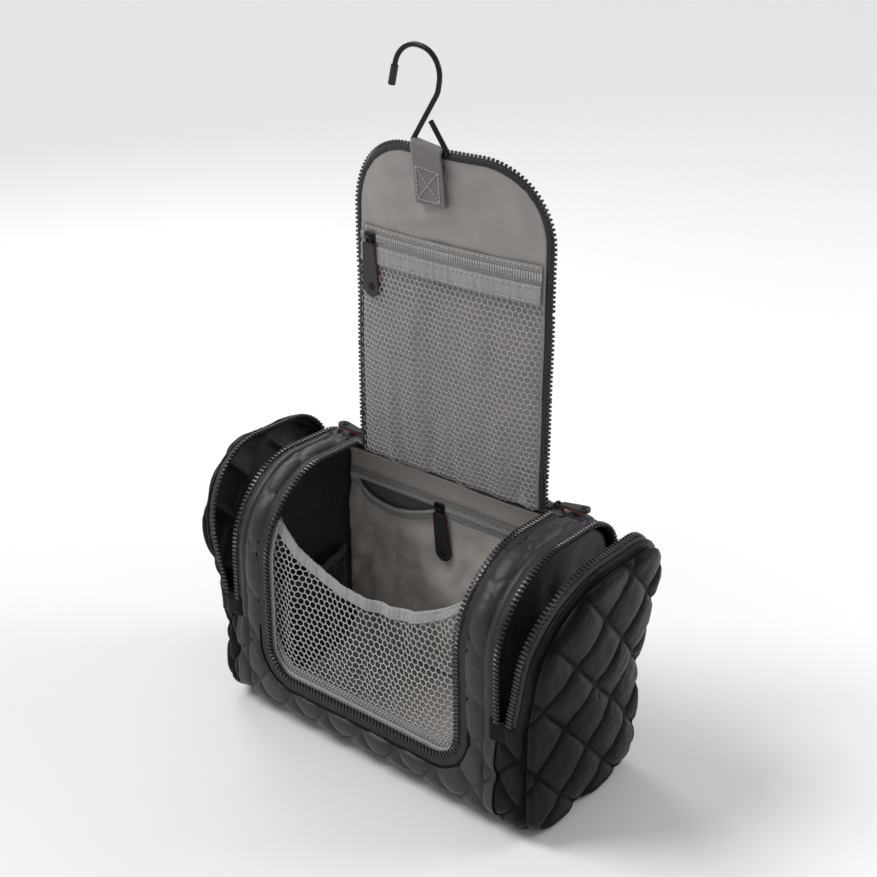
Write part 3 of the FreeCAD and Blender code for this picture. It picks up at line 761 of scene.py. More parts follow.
def end_panel(side, sign):
    count = int(PERIMETER / (1.4 * MM))
    s = np.arange(count) / count * PERIMETER
    place = section_at(s)
    high = smooth(place[:, 1], STOP - 2 * MM, STOP + 3 * MM)
    # The last list gathers, column by column, the painted shade mask for the stitched grooves and the
    # gusset's seam.
    columns, us, vs, seam_shade_marks = [], [], [], []
    start = edge_x(s) - 1.2 * MM * (1 - high)
    gusset_start, gusset_end = OUTER_EDGE + ZIP_IN, END - ROUND
    for share in np.linspace(0, 1, 13):
        x = start + (gusset_end - start) * share
        bunch = 1 + 0.16 * cloth_noise(x, s, 14, 5, 41 + sign) + 0.10 * cloth_noise(x, s, 9, 3, 42)
        middle = (x - gusset_start) / (gusset_end - gusset_start)
        puff = half_round(2 * np.clip(middle, 0, 1) - 1) * 2.6 * MM * bunch * (middle > 0)
        join = smooth(share, 0, 0.3)
        low_lift = (shell_lift(np.full(count, sign * INNER_EDGE), s) * (1 - join)
                    + QUILT * pillow(x, s) * join * (1 - smooth(share, 0.8, 1.0) * 0.7))
        lift = puff * high + low_lift * (1 - high)
        columns.append((x, place[:, 0] + place[:, 2] * lift, place[:, 1] + place[:, 3] * lift))
        us.append(x)
        vs.append(s)
        seam_shade_marks.append(near_stitches(np.where(high > 0.5, 1.0, lift / QUILT)))
    rim = np.stack([place[:, 0] - place[:, 2] * ROUND, place[:, 1] - place[:, 3] * ROUND], -1)
    for turn in np.radians([6, 14, 22, 32, 44, 58, 74]):
        unrolled = rim + place[:, 2:4] * ROUND * (math.pi / 2 - turn)
        height = pillow(unrolled[:, 0] + 9 * MM, unrolled[:, 1], 51 + sign, *END_DIAMOND)
        rise = (QUILT * height * smooth(turn, 0.30, 0.95)
                - 1.9 * MM * math.exp(-((turn - SEAM_TURN) / 0.15) ** 2))
        inset = ROUND * (1 - math.cos(turn)) - rise * math.cos(turn)
        x = gusset_end + (ROUND + rise) * math.sin(turn)
        columns.append((x, place[:, 0] - place[:, 2] * inset, place[:, 1] - place[:, 3] * inset))
        us.append(x + inset)
        vs.append(s)
        seam_shade_marks.append(np.maximum(math.exp(-((turn - SEAM_TURN) / 0.13) ** 2),
                                near_stitches(height) * smooth(turn, 0.3, 0.6)))
    for share in np.linspace(0, 1, 66)[:-1]:
        yz = CENTRE + (rim - CENTRE) * (1 - share)
        height = pillow(yz[:, 0] + 9 * MM, yz[:, 1], 51 + sign, *END_DIAMOND)
        puff = QUILT * height
        seam_shade_marks.append(near_stitches(height))
        unevenness = noise(uvw(yz[:, 0], yz[:, 1], sign), (60 * MM, 60 * MM, 1), 53)
        dome = 5.0 * MM * (1 - (1 - share) ** 2.2) + 1.5 * MM * unevenness
        columns.append((END + puff + dome, yz[:, 0], yz[:, 1]))
        us.append(yz[:, 0] + END)
        vs.append(yz[:, 1])
    x, y, z = (np.stack([column[axis] for column in columns], 1) for axis in range(3))
    u, v = np.stack(us, 1), np.stack(vs, 1)
    points = slouch(np.stack([sign * x, y, z], -1))
    if sign < 0:
        near_floor = 1 - smooth(points[..., 2], 60 * MM, 130 * MM)
        points[..., 0] += 9 * MM * smooth(-points[..., 0], INNER_EDGE, END) * near_floor
    points = swing(points, sign)
    verts, faces = capped(points, flip=sign < 0)
    uv = np.concatenate([np.stack([u, v], -1).reshape(-1, 2), [[END, CENTRE[1]]]])
    thing = mesh_object(f"{side}_end_panel_quilted", verts, faces, [NYLON, DARK_LINING], uv)
    mark_seam_shade(thing, np.append(np.stack(seam_shade_marks, 1).reshape(-1), 0.0))
    thicken(thing, 1.2 * MM, 1)
    return thing


def bend_end(thing, side, slot, *nodes):
    bend = ("bag", f"{side}_end", (0, 0, STOP - 15 * MM), (0, 0, STOP + 15 * MM))
    return finish_piece(thing, bend, slot, *nodes)


for side, sign in SIDES:
    panel = end_panel(side, sign)
    bend_end(panel, side, "quilted_nylon", f"{side}_end_base", f"{side}_end_cover")

    x, s = end_path(sign, OUTER_EDGE - ZIP_IN)
    points, across, normal = body_frames(x, s, np.full(len(s), -float(sign)), np.zeros(len(s)), 0.8 * MM)
    ahead = swing(points + across * MM, sign)
    above = swing(points + normal * MM, sign)
    points = swing(points, sign)
    across, normal = unit(ahead - points), unit(above - points)
    tape = strip(f"{side}_end_outer_tape", points, across, normal, END_TAPE, TAPE_BLACK, 0.25 * MM)
    bend_end(tape, side, "black_zip", f"{side}_end_outer_track")
    row = teeth(f"{side}_end_outer_teeth", points, -across, normal, 0.2 * MM)
    bend_end(row, side, "black_zip")

    # Fabric patches over both ends of the zip.
    for place_name, s_mid in (("front", S_FRONT_STOP - 6 * MM), ("back", S_BACK_STOP + 6 * MM)):
        patch_x, patch_s = steps(112 * MM, 133 * MM, 1 * MM), steps(s_mid - 8 * MM, s_mid + 8 * MM, 1 * MM)
        x, s = np.meshgrid(patch_x, patch_s, indexing="ij")
        edge_far = np.minimum(10.5 * MM - np.abs(x - 122.5 * MM), 8 * MM - np.abs(s - s_mid))
        seam = np.exp(-((edge_far - 2.6 * MM) / (0.7 * MM)) ** 2)
        lift = 2.2 * MM + 1.2 * MM * smooth(edge_far, 0, 2.5 * MM) - 0.5 * MM * seam
        patch = grid_object(f"{side}_zip_tab_{place_name}", on_body(sign * x, s, lift), [PLAIN],
                            np.stack([x, s], -1),
                            flip=sign > 0)
        thicken(patch, 1.4 * MM)
        nodes = ["zip_end_tabs"] if side == "left" and place_name == "front" else []
        finish_piece(patch, "bag", "plain_nylon", *nodes)


# ---- inside the main compartment -------------------------------------------------------------------------

def inner_sheet(name, half, low_s, high_s, inset, material, wrinkle, seed, spacing=1.6 * MM, top=None):
    """A lining sheet inside the body. top(x) gives how far the sheet's first edge is pulled down along it."""
    x, s = np.meshgrid(steps(-half, half, spacing), steps(low_s, high_s, spacing))
    if top is not None:
        share = (s - low_s) / (high_s - low_s)
        s = s + top(x) * (1 - share) ** 2
    folds = cloth_noise(x, s, 26, 34, seed) + 0.45 * cloth_noise(x + s, s - x, 13, 20, seed + 1)
    folds = folds + 0.22 * cloth_noise(x, s, 7, 12, seed + 2)
    # The lining lies flat beside the pocket zip, and is pressed back where the pull hangs.
    calm = 1.0
    if top is not None:
        near_pull = np.exp(-((x - SLIDER_X) / (15 * MM)) ** 2) * (1 - smooth(s - low_s, 44 * MM, 62 * MM))
        calm = smooth(s - low_s - top(x), 0, 26 * MM) * (1 - near_pull)
    points = on_body(x, s, -4.8 * MM * (1 - calm) - inset * calm + wrinkle * folds * calm)
    thing = grid_object(name, points, [material], np.stack([x, s], -1))
    thicken(thing, 0.8 * MM)
    return thing


BACK_ZIP_S = float(STARTS[1] + (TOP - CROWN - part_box("back_pocket_zip")[0].z) - 3 * MM)
BACK_ZIP_HALF = 103 * MM
SLIDER_X = -24 * MM
LINING_HALF, S_LINING_END = 112 * MM, 0.197


def lip(x):
    """How far the back pocket's lower lip hangs open, left of its slider."""
    share = np.clip((x + BACK_ZIP_HALF) / (SLIDER_X + BACK_ZIP_HALF), 0, 1)
    return np.sin(np.pi * share ** 0.8) ** 0.8 * 14 * MM


lining = inner_sheet("back_lining_satin", LINING_HALF, BACK_ZIP_S + 3 * MM, S_LINING_END, 9.0 * MM,
                     LIGHTENED_INNER_LINING, 4.8 * MM, 61, top=lip)
finish_piece(lining, "bag", "grey_lining", "back_lining")
upper = inner_sheet("back_lining_top", LINING_HALF, 0.004, BACK_ZIP_S - 3 * MM, 5.2 * MM, LIGHTENED_INNER_LINING,
                    0.5 * MM, 64)
finish_piece(upper, "bag", "grey_lining")
behind = inner_sheet("back_pocket_inside", 108 * MM, 0.010, 0.180, 3.2 * MM, GREY_BACK, 0.3 * MM, 67, 3 * MM)
finish_piece(behind, "bag", "grey_lining")
bottom = inner_sheet("base_lining_satin", LINING_HALF, 0.193, S_SILL + 3 * MM, 5.4 * MM, LIGHTENED_INNER_LINING,
                     1.2 * MM, 70)
finish_piece(bottom, "bag", "grey_lining", "base_lining")


def on_lining(x, s, lift=0.0):
    """A point of the plain back lining, lifted further into the bag."""
    return on_body(x, s, -5.2 * MM - lift)


def lining_frames(x, s, step_s):
    points = on_lining(x, s)
    across = unit(on_lining(x, s + step_s * MM) - points)
    normal = unit(on_lining(x, s, 1 * MM) - points)
    return points, across, normal


def coil(name, points, across, normal, pitch=1.9 * MM):
    """Half of a coil zip: small loops side by side."""
    tangent = unit(np.gradient(points, axis=0))
    origins, (xs, ys, zs) = spaced(points, tangent, across, normal, pitch=pitch)
    outline = ((-.6, .3), (-.6, 1.5), (.0, 1.9), (.6, 1.5), (.6, .3))
    verts, faces = solid_loft([[(x * MM, y * MM, z * MM) for x, z in outline]
                               for y in (-1.5, 1.7)])
    return repeated(name, verts, faces, origins, xs, ys, zs, COIL, smooth_shade=True)


# The back pocket's zip: closed right of the slider, open left of it, where the lower half follows the lip.
x = steps(-111 * MM, 111 * MM, 1.2 * MM)
for half, step, drop in (("upper", -1, 0.0), ("lower", 1, 1.0)):
    s = np.full(len(x), BACK_ZIP_S) + step * 0.9 * MM + drop * lip(x)
    points, across, normal = lining_frames(x, s, step)
    points = points + normal * (1.4 + drop * 1.2 * smooth(lip(x), 0, 8 * MM)[:, None]) * MM
    tape = strip(f"back_zip_tape_{half}", points, across, normal, rounded_profile(0, 5.5 * MM, 0.8 * MM),
                 TAPE_GREY, 0.2 * MM)
    finish_piece(tape, "bag", "grey_zip", *(["back_pocket_zip"] if half == "upper" else []))
    coil_name = "back_pocket_zip_coil" if half == "upper" else "back_pocket_zip_coil_lower"
    row = coil(coil_name, points, across, normal)
    finish_piece(row, "bag", "grey_zip")
    thing = stitches(f"back_zip_stitches_{half}", points + across * 6.6 * MM + normal * 1.2 * MM, normal)
    finish_piece(thing, "bag", "grey_lining")


def divider(side, sign):
    """The black wall between the main compartment and an end pocket, with the slack of unlined cloth."""
    count = 300
    s = np.arange(count) / count * PERIMETER
    place = section_at(s)
    rim = np.stack([place[:, 0] - place[:, 2] * 3.2 * MM, place[:, 1] - place[:, 3] * 3.2 * MM], -1)
    columns = []
    for share in np.linspace(0, 1, 50)[:-1]:
        yz = CENTRE + (rim - CENTRE) * (1 - share)
        x = 113 * MM - smooth(share, 0, 0.2) * (
            2.0 * MM * noise(uvw(yz[:, 0], yz[:, 1], sign), (34 * MM, 50 * MM, 1), 81)
            + 0.8 * MM * noise(uvw(yz[:, 0], yz[:, 1], sign), (11 * MM, 19 * MM, 1), 82))
        columns.append(np.stack([sign * x, yz[:, 0], yz[:, 1]], -1))
    verts, faces = capped(slouch(np.stack(columns, 1)), flip=sign > 0)
    thing = mesh_object(f"{side}_divider_cloth", verts, faces, [DARK_LINING], verts[:, 1:])
    thicken(thing, 0.8 * MM)
    return thing


for side, sign in SIDES:
    finish_piece(divider(side, sign), "bag", "black_lining", f"{side}_divider")

    # The gathered pocket on the wall: elastic along its mouth, falling in folds to the floor.
    low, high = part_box(f"{side}_inner_pocket")
    ys, ts = steps(low.y + 1 * MM, high.y - 1 * MM, 1.2 * MM), np.linspace(0, 1, 46)
    y, t = np.meshgrid(ys, ts)
    share = (y - low.y) / (high.y - low.y)
    belly = np.sin(np.pi * np.clip(share, 0, 1)) ** 0.45
    gather = np.sin(y / (4.6 * MM) * 2 * np.pi + 1.3 * np.sin(y / (13 * MM))) * smooth(t, 0.1, 1.0)
    out = belly * (15 * MM * (0.55 + 0.45 * np.sin(np.pi * t ** 0.7)) + 0.9 * MM * gather)
    out = out + belly * 1.6 * MM * cloth_noise(y, t * 90 * MM, 9, 40, 85 + sign)
    z = low.z + 2 * MM + (high.z - low.z - 4 * MM) * t - 5 * MM * np.sin(np.pi * share) * t
    cloth = slouch(np.stack([sign * (112.5 * MM - out), y, z], -1))
    thing = grid_object(f"{side}_wall_pocket_cloth", cloth, [DARK_LINING], np.stack([y, z], -1),
                        flip=sign > 0)
    thicken(thing, 0.7 * MM)
    finish_piece(thing, "bag", "black_lining", f"{side}_inner_pocket")
    points = cloth[-1]
    up, out_way = same((0, 0, 1), len(points)), same((-sign, 0, 0), len(points))
    band = strip(f"{side}_wall_pocket_elastic", points - up * 6 * MM, up, out_way,
                 rounded_profile(0, 7 * MM, 1.6 * MM), DARK_ELASTIC, 0.5 * MM, 2.2 * MM)
    finish_piece(band, "bag", "black_lining")


# ---- front net -------------------------------------------------------------------------------------------

NET_HALF = 85 * MM


def droop(x):
    return S_SHOULDER + 34 * MM * (np.abs(x) / NET_HALF) ** 2.2


def on_net(x, s, lift=0.0):
    """The front net hangs a little inside the opening and bellies forward above the sill."""
    share = np.clip((s - S_SILL) / (droop(x) - S_SILL), 0, 1)
    side_share = 1 - smooth(np.abs(x), 60 * MM, NET_HALF)
    belly = np.sin(np.pi * share ** 0.8) * 4 * MM * side_share - share ** 2 * 3.5 * MM * side_share
    folds = 2.2 * MM * cloth_noise(x, s, 11, 70, 91) * smooth(share, 0, 0.5) * side_share
    return on_body(x, s, -3.2 * MM + belly + folds + np.asarray(lift))


def in_front_net(x, s):
    corner = opening_distance(x, s)
    return (corner < 1.5 * MM) & (s < droop(x) - 1 * MM) & (s > S_SILL - 2 * MM)


net = hex_net("front_net", (-NET_HALF - 2 * MM, NET_HALF + 2 * MM), (S_SILL - 2 * MM, S_SHOULDER + 36 * MM),
              in_front_net, on_net, 4.9 * MM, NET)
# The area is chosen for the threads alone and not measured.
finish_piece(net, "bag", "grey_mesh", "front_mesh_pocket")

x = steps(-NET_HALF - 0.5 * MM, NET_HALF + 0.5 * MM, 0.8 * MM)
points = on_net(x, droop(x) - 1.0 * MM)
across = unit(on_net(x, droop(x) + 1 * MM) - points)
normal = unit(on_net(x, droop(x) - 1.0 * MM, 1 * MM) - points)
band = strip("front_net_elastic", points - across * 4 * MM - normal * 0.8 * MM, across, normal,
             rounded_profile(0, 8.6 * MM, 1.9 * MM), ELASTIC, 0.45 * MM, 1.7 * MM)
finish_piece(band, "bag", "grey_elastic", "front_mesh_binding")
for place_name, offset in (("upper", 3.2), ("lower", -2.6)):
    thing = stitches(f"front_net_stitches_{place_name}",
                     points + across * offset * MM + normal * 1.3 * MM, normal,
                     dash=1.6 * MM, pitch=2.4 * MM, radius=0.25 * MM)
    finish_piece(thing, "bag", "grey_elastic")

path = opening_path()
inside = (path[1] < droop(path[0]) + 2 * MM)
px, ps, nx, ns = (values[inside] for values in path)
points, across, normal = body_frames(px - nx * 0.5 * MM, ps - ns * 0.5 * MM, nx, ns, -2.0 * MM)
hem = strip("front_net_hem", points, -across, normal, rounded_profile(-3 * MM, 2.6 * MM, 1.0 * MM),
            NET, 0.3 * MM, 2.5 * MM)
finish_piece(hem, "bag", "grey_mesh")


def in_net_edge(x, s):
    depth = -opening_distance(x, s)
    low_down = 1 - smooth(s, S_SILL + 12 * MM, S_SILL + 34 * MM)
    return (depth > 0) & (depth < 2.5 * MM + 9 * MM * low_down) & (s < droop(x) - 1 * MM)


doubled = hex_net("front_net_doubled_edge", (-NET_HALF - 2 * MM, NET_HALF + 2 * MM),
                  (S_SILL - 2 * MM, S_SHOULDER + 36 * MM),
                  in_net_edge, lambda x, s: on_net(x, s, 0.8 * MM), 2.7 * MM, NET, 0.4 * MM, 0.44, 0.40)
finish_piece(doubled, "bag", "grey_mesh")


# ---- flap ------------------------------------------------------------------------------------------------

CORNER_Z = FLAP_TOP - FLAP_CORNER
CUTS = [HINGE.z, 208 * MM, 261 * MM, 319 * MM, FLAP_TOP]
BENDS = [("bag", "flap_1", (0, HINGE.y, 180 * MM), (0, HINGE.y, 204 * MM)),
         ("flap_1", "flap_2", (0, HINGE.y, 222 * MM), (0, HINGE.y, 246 * MM)),
         ("flap_2", "flap_3", (0, HINGE.y, 276 * MM), (0, HINGE.y, 300 * MM)),
         ("flap_3", "flap_4", (0, HINGE.y, 347 * MM), (0, HINGE.y, 366 * MM))]
PIECES = [(), (1,), (2,), (3, 4)]
POCKET_ZIP_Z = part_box("flap_pocket_zip")[0].z + 3 * MM
BINDING_LOW = POCKET_ZIP_Z - 18 * MM


def half_width(z):
    rise = np.clip(np.asarray(z, float) - CORNER_Z, 0, FLAP_CORNER)
    return FLAP_HALF - FLAP_CORNER + np.sqrt(np.clip(FLAP_CORNER ** 2 - rise ** 2, 0, None))


def on_flap(x, z, lift=0.0):
    """A point of the standing flap; lift is towards the front. The flap bows a little towards the hook."""
    x, z, lift = np.broadcast_arrays(np.asarray(x, float), z, lift)
    bow = np.interp(z, FOLDS + [FLAP_TOP], [0, 3 * MM, 5 * MM, 6 * MM, 9.5 * MM])
    y = HINGE.y - bow * (1 - (x / FLAP_HALF) ** 2) - lift
    slack = cloth_noise(x, z, 80, 60, 101) * 1.2 * MM * smooth(z, HINGE.z, HINGE.z + 30 * MM)
    drift = cloth_noise(z, z, 60, 60, 102) * 0.7 * MM
    return np.stack([x + drift * smooth(z, HINGE.z, HINGE.z + 40 * MM), y + slack, z], -1)


def flap_rows(low, high, spacing):
    """Heights from low to high, closer together where the top corners turn."""
    straight = steps(low, min(high, CORNER_Z), spacing) if low < CORNER_Z else np.array([])
    if high <= CORNER_Z:
        return straight
    start = max(low, CORNER_Z)
    turns = steps(math.asin((start - CORNER_Z) / FLAP_CORNER),
                  math.asin(min(1.0, (high - CORNER_Z) / FLAP_CORNER)),
                  spacing / FLAP_CORNER)
    curved = CORNER_Z + FLAP_CORNER * np.sin(turns)
    return np.concatenate([straight, curved[1 if len(straight) else 0:]])


def flap_layer(name, low, high, edge, lift_of, materials, spacing=1.3 * MM, facing_front=True, seam_shade_of=None):
    zs = flap_rows(low, high, spacing)
    us = steps(-FLAP_HALF, FLAP_HALF, spacing) / FLAP_HALF
    u, z = np.meshgrid(us, zs)
    x = u * (half_width(z) - edge)
    z = np.minimum(z, FLAP_TOP - edge * smooth(z, CORNER_Z, FLAP_TOP))
    points = on_flap(x, z, lift_of(x, z, (1 - np.abs(u)) * FLAP_HALF))
    return grid_object(name, points, materials, np.stack([x, z], -1), flip=not facing_front,
                       seam_shade=None if seam_shade_of is None else seam_shade_of(x, z))


def outer_lift(x, z, from_edge):
    rim = np.minimum(from_edge, np.maximum(FLAP_TOP - z, 0))
    puff = QUILT * 0.9 * pillow(x, z, 111) * smooth(rim, 3 * MM, 8 * MM)
    return -(1.0 * MM + 1.4 * MM * smooth(rim, 0, 5 * MM) + puff)


def lining_lift(x, z, from_edge):
    folds = cloth_noise(x, z, 38, 22, 121) + 0.5 * cloth_noise(x + z, z - x, 17, 30, 122)
    above_zip = smooth(z, POCKET_ZIP_Z + 6 * MM, POCKET_ZIP_Z + 16 * MM)
    creases = cloth_noise(x + 0.4 * z, z - 0.3 * x, 46, 9, 123) * above_zip
    free = smooth(np.minimum(from_edge, FLAP_TOP - z), 2 * MM, 14 * MM)
    return 1.0 * MM + (1.3 * MM * folds + 0.9 * MM * creases) * free


def rim_lines(low, high):
    """The flap's edge between two heights: one line up each side, or one line right round the top."""
    zs = flap_rows(low, high, 1.4 * MM)
    turn = np.arcsin(np.clip((zs - CORNER_Z) / FLAP_CORNER, 0, 1))
    right = np.stack([half_width(zs), zs, np.cos(turn), np.sin(turn)], -1)
    left = right * np.array([-1, 1, -1, 1])
    if high < FLAP_TOP:
        return {"left": left, "right": right}
    across = steps(-(FLAP_HALF - FLAP_CORNER), FLAP_HALF - FLAP_CORNER, 1.4 * MM)[1:-1]
    top = np.stack([across, np.full(len(across), FLAP_TOP), 0 * across, 0 * across + 1], -1)
    return {"top": np.concatenate([left, top, right[::-1]])}


def rim_frames(line, lift):
    points = on_flap(line[:, 0], line[:, 1], lift)
    across = unit(np.stack([line[:, 2], 0 * line[:, 2], line[:, 3]], -1))
    normal = same(TOWARDS_FRONT, len(points))
    return points, across, normal


for number, (low, high, bend) in enumerate(zip(CUTS, CUTS[1:], BENDS)):
    nodes = [f"flap_panel_{piece}" for piece in PIECES[number]]
    # The outer cloth takes painted shade along its quilting's stitched grooves.
    outer = flap_layer(f"flap_outer_{number}", low, high, 1.5 * MM, outer_lift, [NYLON], facing_front=False,
                       seam_shade_of=lambda x, z: near_stitches(pillow(x, z, 111)))
    thicken(outer, 0.8 * MM)
    finish_piece(outer, bend, "quilted_nylon", *nodes)

    lining = flap_layer(f"flap_lining_cloth_{number}", low, high, 4 * MM, lining_lift, [GREY_LINING],
                        1.6 * MM)
    thicken(lining, 0.5 * MM)
    finish_piece(lining, bend, "grey_lining", *[f"flap_lining_{piece}" for piece in PIECES[number]])

    for where, line in rim_lines(low, high).items():
        points, across, normal = rim_frames(line, -1.6 * MM)
        tape = strip(f"flap_zip_tape_{number}_{where}", points, across, normal,
                     rounded_profile(-4.4 * MM, 0.6 * MM, 3.4 * MM), TAPE_BLACK, 0.2 * MM)
        nodes = [f"flap_track_{piece}" for piece in PIECES[number] if where in ("left", "top")]
        finish_piece(tape, bend, "black_zip", *nodes)
        points, across, normal = rim_frames(line, -1.1 * MM)
        points = points - across * 0.3 * MM
        row = teeth(f"flap_zip_teeth_{number}_{where}", points, -across, normal, 0.0)
        finish_piece(row, bend, "black_zip")

# The net pocket, its zip and its binding.
NET_SIDE = FLAP_HALF - 5.5 * MM


def on_flap_net(x, z, lift=0.0):
    share = np.clip((z - HINGE.z) / (BINDING_LOW - HINGE.z), 0, 1)
    flat_edge = 1 - smooth(np.abs(x), NET_SIDE - 14 * MM, NET_SIDE)
    folds = (cloth_noise(x, z, 12, 110, 131) + 0.5 * cloth_noise(x, z, 6.5, 70, 132))
    belly = 4.0 * MM * np.sin(np.pi * share ** 0.7)
    loose = (belly + 2.4 * MM * folds * smooth(1 - share, 0, 0.2)) * flat_edge
    return on_flap(x, z, 2.6 * MM + loose + np.asarray(lift))


def in_band(low, high):
    return lambda x, z: (np.abs(x) < NET_SIDE + 1 * MM) & (z >= low) & (z < high)


for number in (0, 1, 2):
    low = CUTS[number] + (2 * MM if number == 0 else 0)
    high = CUTS[number + 1] if number < 2 else BINDING_LOW + 2.5 * MM
    net = hex_net(f"flap_net_{number}", (-NET_SIDE, NET_SIDE), (HINGE.z + 2 * MM, BINDING_LOW + 3 * MM),
                  in_band(low, high), on_flap_net, 4.3 * MM, NET)
    finish_piece(net, BENDS[number], "grey_mesh", f"flap_mesh_{number + 1}")

x = steps(-NET_SIDE, NET_SIDE, 1.2 * MM)


def flap_strip(name, z, low, high, thick, lift, material, slot, *nodes, wobble=0.15 * MM):
    points = on_flap(x, np.full(len(x), z), lift)
    across, normal = same((0, 0, 1), len(x)), same(TOWARDS_FRONT, len(x))
    band = strip(name, points, across, normal, rounded_profile(low, high, thick), material, wobble)
    finish_piece(band, "flap_3", slot, *nodes)


flap_strip("flap_pocket_binding_band", BINDING_LOW, 0, 12.5 * MM, 1.1 * MM, 3.2 * MM, ELASTIC, "grey_elastic",
           "flap_pocket_binding", wobble=0.45 * MM)
flap_strip("flap_zip_tape_lower", POCKET_ZIP_Z, -8 * MM, -0.9 * MM, 0.9 * MM, 2.2 * MM, TAPE_GREY,
           "grey_zip", "flap_pocket_zip")
flap_strip("flap_zip_tape_upper", POCKET_ZIP_Z, 0.9 * MM, 7 * MM, 0.9 * MM, 2.0 * MM, TAPE_GREY, "grey_zip")
for where, step, shift in (("lower", -1, -0.6), ("upper", 1, 0.6)):
    points = on_flap(x, np.full(len(x), POCKET_ZIP_Z + shift * MM), 2.5 * MM)
    row = coil(f"flap_pocket_coil_{where}", points, same((0, 0, step), len(x)), same(TOWARDS_FRONT, len(x)))
    finish_piece(row, "flap_3", "grey_zip")
for name, z, lift in (("above", POCKET_ZIP_Z + 5.6 * MM, 3.0 * MM),
                      ("below", BINDING_LOW + 11 * MM, 4.5 * MM),
                      ("binding", BINDING_LOW + 1.8 * MM, 4.5 * MM)):
    points = on_flap(x, np.full(len(x), z), lift)
    thing = stitches(f"flap_stitches_{name}", points, same(TOWARDS_FRONT, len(x)))
    finish_piece(thing, "flap_3", "grey_lining")


# ---- sliders, pulls and hook -----------------------------------------------------------------------------

def plate(outline, low, high, bevel, inset=0.88):
    outline = np.asarray(outline, float)
    middle = outline.mean(0)
    small = middle + (outline - middle) * inset
    return solid_loft([[(*p, h) for p in ring] for ring, h in
                       ((small, low), (outline, low + bevel), (outline, high - bevel), (small, high))])


def tube(route, radius, count=8):
    route = np.asarray(route, float)
    tangent = unit(np.gradient(route, axis=0))
    side = unit(np.cross(tangent, [0.0, 1.0, 0.0]) + 1e-9)
    other = np.cross(tangent, side)
    return solid_loft([[tuple(p + radius * (math.cos(a) * u + math.sin(a) * v)) for a in
                        np.linspace(0, 2 * math.pi, count + 1)[:-1]] for p, u, v in zip(route, side, other)])


def placed(name, parts, origin, along, across, up, materials, uses):
    """Parts drawn in millimetres, along, across and up from an origin, as one mesh."""
    verts, faces, slots = [], [], []
    frame_axes = np.array([along, across, up], float)
    for (part_verts, part_faces), use in zip(parts, uses):
        start = len(verts)
        verts.extend(np.asarray(origin) + (np.asarray(part_verts) * MM) @ frame_axes)
        faces.extend([[index + start for index in face] for face in part_faces])
        slots.extend([use] * len(part_faces))
    thing = mesh_object(name, verts, faces, materials, np.asarray(verts)[:, [0, 2]], slots,
                        smooth_shade=False)
    bevel = thing.modifiers.new("edges", "BEVEL")
    bevel.width, bevel.segments, bevel.limit_method = 0.18 * MM, 2, "ANGLE"
    return thing


def arc(centre, radius, start, end, count, flat=1.0):
    return [(centre[0] + radius * math.cos(t), centre[1] + radius * flat * math.sin(t))
            for t in np.linspace(math.radians(start), math.radians(end), count)]


SLIDER_OUTLINE = [(-5.2, -2.2), (-4.2, -3.6), (0.5, -4.0), (3.6, -3.6), (5.0, -2.4), (5.0, 2.4),
                  (3.6, 3.6), (0.5, 4.0),
                  (-4.2, 3.6), (-5.2, 2.2)]


# Half widths of the leather at its top and at its end, in millimetres, and how far it stands off the zip.
LONG_PULL, SHORT_PULL = (5.0, 6.8), (2.4, 4.4)
PULL_LIFT = 3.6 * MM


def slider_parts():
    low = plate(SLIDER_OUTLINE, -1.4, -0.3, 0.3)
    high = plate(SLIDER_OUTLINE, 1.5, 2.7, 0.4)
    neck = plate([(-4.6, -1.2), (-2.6, -1.2), (-2.6, 1.2), (-4.6, 1.2)], -0.8, 2.0, 0.2)
    route = [(-3.6, 2.2)] + arc((0, 3.0), 3.4, 180, 0, 12, 0.5) + [(3.6, 2.2)]
    bridge = tube([(p[0], 0.0, p[1]) for p in route], 0.75)
    return [low, high, neck, bridge]


def pull_parts(length, top_half, low_half):
    """A tapered leather strap hanging along -x, its red back, its rivet and the ring that holds it."""
    end = -(length - low_half)
    outline = [(-4.0, -top_half), (-5.0, -top_half - 0.1)] + [(end + 1.0, -low_half)]
    turns = np.radians(np.linspace(-100, -260, 15))
    outline += [(end + low_half * math.cos(t), low_half * math.sin(t)) for t in turns]
    outline += [(end + 1.0, low_half), (-5.0, top_half + 0.1), (-4.0, top_half), (-3.3, 0.0)]
    front = plate(outline, -0.1, 1.3, 0.35, 0.96)
    back = plate(outline, -1.2, -0.1, 0.35, 0.96)
    hole = end + 0.8
    rivet = plate(arc((hole, 0), 2.7, 0, 337.5, 16), 1.2, 2.1, 0.35, 0.8)
    centre = plate(arc((hole, 0), 1.3, 0, 337.5, 16), 1.9, 2.4, 0.2, 0.7)
    once_round = np.linspace(0, 2 * math.pi, 21)
    ring = tube([(-2.3 + 3.1 * math.cos(t), 2.3 * math.sin(t), 0.1) for t in once_round], 0.55)
    return [front, back, rivet, centre, ring], [0, 1, 2, 2, 2]


def fit_zip(name, origin, along, up, hang, length, tilt):
    """A slider at origin on a zip that runs along, and its pull, which hangs down one way at a small tilt."""
    along, up, hang = (np.array(v, float) for v in (along, up, hang))
    across = np.cross(up, along)
    parts = slider_parts()
    slider = placed(f"{name}_slider_metal", parts, origin, along, across, up, [METAL], [0] * len(parts))
    finish_piece(slider, f"{name}_slider", "slider_metal", f"{name}_slider")
    parts, uses = pull_parts(length, *(LONG_PULL if length > 30 else SHORT_PULL))
    lean = math.radians(tilt)
    down = -hang * math.cos(lean) + up * math.sin(lean)
    out = up * math.cos(lean) + hang * math.sin(lean)
    strap = placed(f"{name}_pull_strap", parts, np.asarray(origin) + up * PULL_LIFT, down,
                   np.cross(out, down), out, [LEATHER, LEATHER_RED, METAL], uses)
    finish_piece(strap, f"{name}_pull", "pull_leather", f"{name}_pull")


